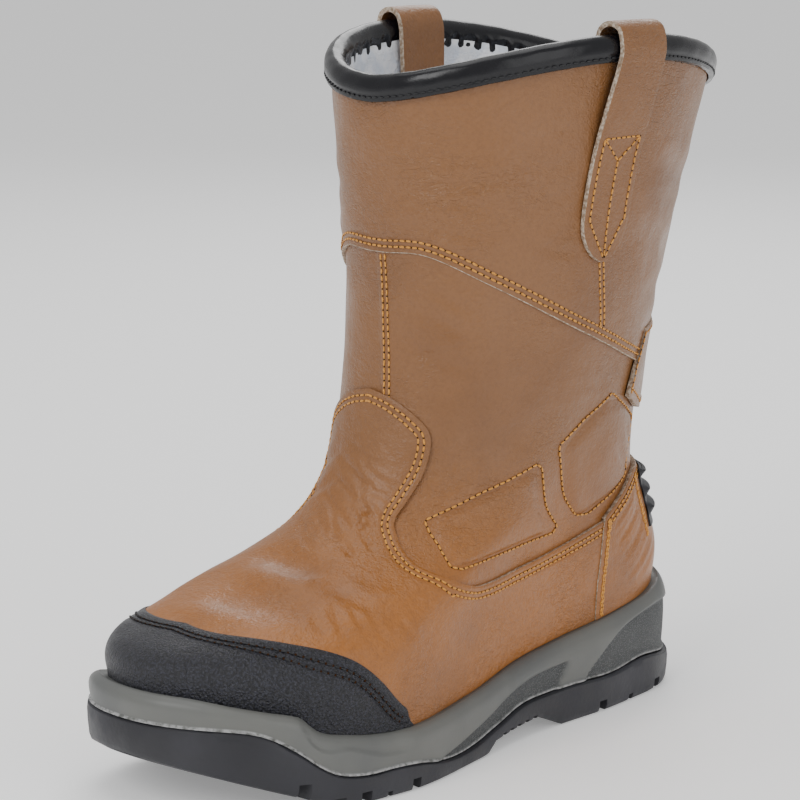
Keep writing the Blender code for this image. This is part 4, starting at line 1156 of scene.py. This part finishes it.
def sew_all(gold, black, hole):
    """Every row of thread on the boot, with painted shade at its needle holes."""
    single, crossed, dark, holes = [], [], [], []
    phi = np.linspace(0, 2 * math.pi, 900)
    edge = table(LEG_EDGE, from_toe(phi))
    for shift in LEG_ROWS:
        single.append(seam(phi, edge, shift, LAP_STEP + 0.05))
    front_phi, front_u = run([(p, u) for u, p in FRONT_SEAM], 120)
    for shift in (0.0, 2.4):
        single.append(seam(front_phi, front_u - 0.002, shift, 0.95))
    a = np.linspace(0, 1, 700)
    for side in (1, -1):
        phi_v, u_v = np.radians(table(VAMP_EDGE, a, 1)) * side, table(VAMP_EDGE, a, 2)
        for shift in VAMP_ROWS:
            single.append(seam(phi_v, u_v, -shift * side, VAMP_TOP - 0.25))
        for patch in (FRONT_PAD, REAR_PAD):
            phi_p, u_p = rounded(patch)
            single.append(seam(phi_p * side, u_p, 0.0, 0.15))
        phi_f, u_f = run(((124.4, 0.296), (125, 0.062)), 120)
        for shift in (2.6, 3.7):
            crossed.append(seam(phi_f * side, u_f, shift * side, COUNTER_TOP))
        phi_b, u_b = run(((143.0, 0.385), (146.8, 0.200)), 120)
        for shift in (0.0, 1.3):
            crossed.append(seam(phi_b * side, u_b, shift * side, COUNTER_TOP))
        phi_s, u_s = run(((85.0, 0.811), (88.0, 0.770), (90.5, 0.733)), 60)
        for shift in (-1.2, 1.2):
            single.append(seam(phi_s * side, u_s, shift, LAP_STEP + 0.15))
        half = STRAP_WIDTH / 2 - 3.0
        for corners in (((0.928, half), (0.928, -half)), ((0.928, half), (0.908, 0.0)),
                        ((0.928, -half), (0.908, 0.0)), ((0.908, 0.0), (0.818, 0.0)),
                        ((0.928, half), (0.856, half), (0.817, 0.5)),
                        ((0.928, -half), (0.856, -half), (0.817, -0.5))):
            single.append(strap_line(side, corners))
        phi_l, u_l = run(((124.6, 0.703), (120.5, 0.655), (119.0, 0.612), (139, 0.562),
                          (180, 0.552)), 240)
        single.append(seam(phi_l * side, u_l, 2.2 * side, TAB_TOP_OUT))
    top = np.linspace(-1, 1, 500)
    phi_c, u_c = np.radians(table(COUNTER_EDGE, top, 1)), table(COUNTER_EDGE, top, 2)
    for shift in COUNTER_ROWS:
        single.append(seam(phi_c, u_c, -shift, COUNTER_TOP - 0.2))
    tab = np.linspace(-0.97, 0.97, 200)
    single.append(seam(np.radians(table(TAB_TOP, tab, 1)), table(TAB_TOP, tab, 2), -2.2,
                       TAB_TOP_OUT))
    flip = np.where(top < 0, -1.0, 1.0)
    phi_t = np.radians(table(CAP_EDGE, np.abs(top), 1)) * flip
    u_t = table(CAP_EDGE, np.abs(top), 2)
    for shift in CAP_ROWS:
        dark.append(seam(phi_t, u_t, -shift, CAP_TOP - 0.1))
    sew("golden_thread", single, gold)
    sew("crossed_thread", crossed, gold, pitch=2.0, long=2.5, zigzag=24)
    # Dark blobs between the stitches: painted shade of the needle holes.
    sew("needle_holes", single, hole, long=0.8, wide=0.8, high=0.5,
        offset=0.5, lift=0.05, lean=0)
    sew("cap_thread", dark, black, long=2.5, wide=0.9, pitch=CAP_PITCH)
    # Dark blobs between the cap stitches: painted shade of the needle holes.
    sew("cap_holes", dark, hole, long=1.0, wide=1.0, high=0.5, pitch=CAP_PITCH,
        offset=0.5, lift=0.0, lean=0)
    edge, out, up = collar_frame(phi)
    rim = (edge + out * 4.55 + up * -3.5, out)
    sew("binding_thread", [rim], black, long=2.4, wide=0.8, high=0.6, pitch=3.2)


def build_stage():
    """Pale floor, soft studio light and the camera."""
    floor_paint = Recipe("studio_floor", (0.92, 0.92, 0.92), 0.7, 0.2)
    floor_paint.shader.inputs["Emission Color"].default_value = (1, 1, 1, 1)
    floor_paint.shader.inputs["Emission Strength"].default_value = 0.25
    bpy.ops.mesh.primitive_plane_add(size=FLOOR_SIDE, location=(0, 0, 0))
    floor = bpy.context.object
    floor.name = "studio_floor"
    floor.data.materials.append(floor_paint.material)
    world = bpy.data.worlds.new("studio")
    bpy.context.scene.world = world
    world.use_nodes = True
    world.node_tree.nodes["Background"].inputs[0].default_value = (1.0, 1.0, 1.0, 1)
    world.node_tree.nodes["Background"].inputs[1].default_value = 0.62
    for name, place, size, power in LAMPS:
        lamp = bpy.data.lights.new(name, "AREA")
        lamp.energy = power
        lamp.size = size
        item = bpy.data.objects.new(name, lamp)
        bpy.context.scene.collection.objects.link(item)
        item.location = place
        item.rotation_euler = (Vector((0, 0, 0.13)) - Vector(place)).to_track_quat(
            "-Z", "Y").to_euler()
    lens = bpy.data.cameras.new("camera")
    lens.sensor_width = 36
    lens.lens = CAMERA_LENS
    camera = bpy.data.objects.new("camera", lens)
    bpy.context.scene.collection.objects.link(camera)
    camera.location = CAMERA_PLACE
    gaze = Vector(CAMERA_TARGET) - camera.location
    camera.rotation_euler = gaze.to_track_quat("-Z", "Y").to_euler()
    bpy.context.scene.camera = camera


def build_boot():
    tan, raw, black = tan_leather(), raw_edge(), pebbled_black()
    rubber = tread_rubber()
    build_leg(tan, raw)
    build_quarter(tan, raw)
    build_overlay("stitched_vamp", "vamp", VAMP_FOOT, VAMP_EDGE,
                  both_sides(fine_steps(150, 0.01, 2)), fine_steps(96, 0.008, 2), VAMP_TOP,
                  tan, raw, sunk=VAMP_ROWS, bevel=0.0)
    build_overlay("scuff_cap", "toe_cap", CAP_FOOT, CAP_EDGE, both_sides(fine_steps(70, 0.02)),
                  fine_steps(60, 0.02), CAP_TOP, black, black, sunk=CAP_ROWS,
                  thick=2.6)
    wide = fine_steps(150, 0.01) * 2 - 1
    build_overlay("stitched_counter", "heel_counter", COUNTER_FOOT, COUNTER_EDGE, wide,
                  fine_steps(70, 0.015), COUNTER_TOP, tan, raw, sunk=COUNTER_ROWS)
    build_overlay("stitched_tab", "back_tab", TAB_FOOT, TAB_TOP, wide[::2], fine_steps(40, 0.02),
                  TAB_TOP_OUT, tan, raw)
    for name in PAD_GRIDS:
        build_pad(name + "_outer", tan, False)
        build_pad(name + "_inner", tan, True)
    for side in (1, -1):
        build_strap(side, tan, raw)
    build_binding(binding_hide())
    build_lining(fleece())
    build_midsole(midsole_foam())
    build_outsole(rubber)
    build_kick(rubber)
    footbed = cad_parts["insole"]
    footbed.data.materials.clear()
    footbed.data.materials.append(footbed_cloth())
    sew_all(thread("golden_silk", (0.72, 0.33, 0.055), (0.36, 0.13, 0.02)),
            thread("black_silk", (0.012, 0.012, 0.014), (0.004, 0.004, 0.005)), hole_shade())


fold_lines = place_folds()
build_boot()
build_stage()
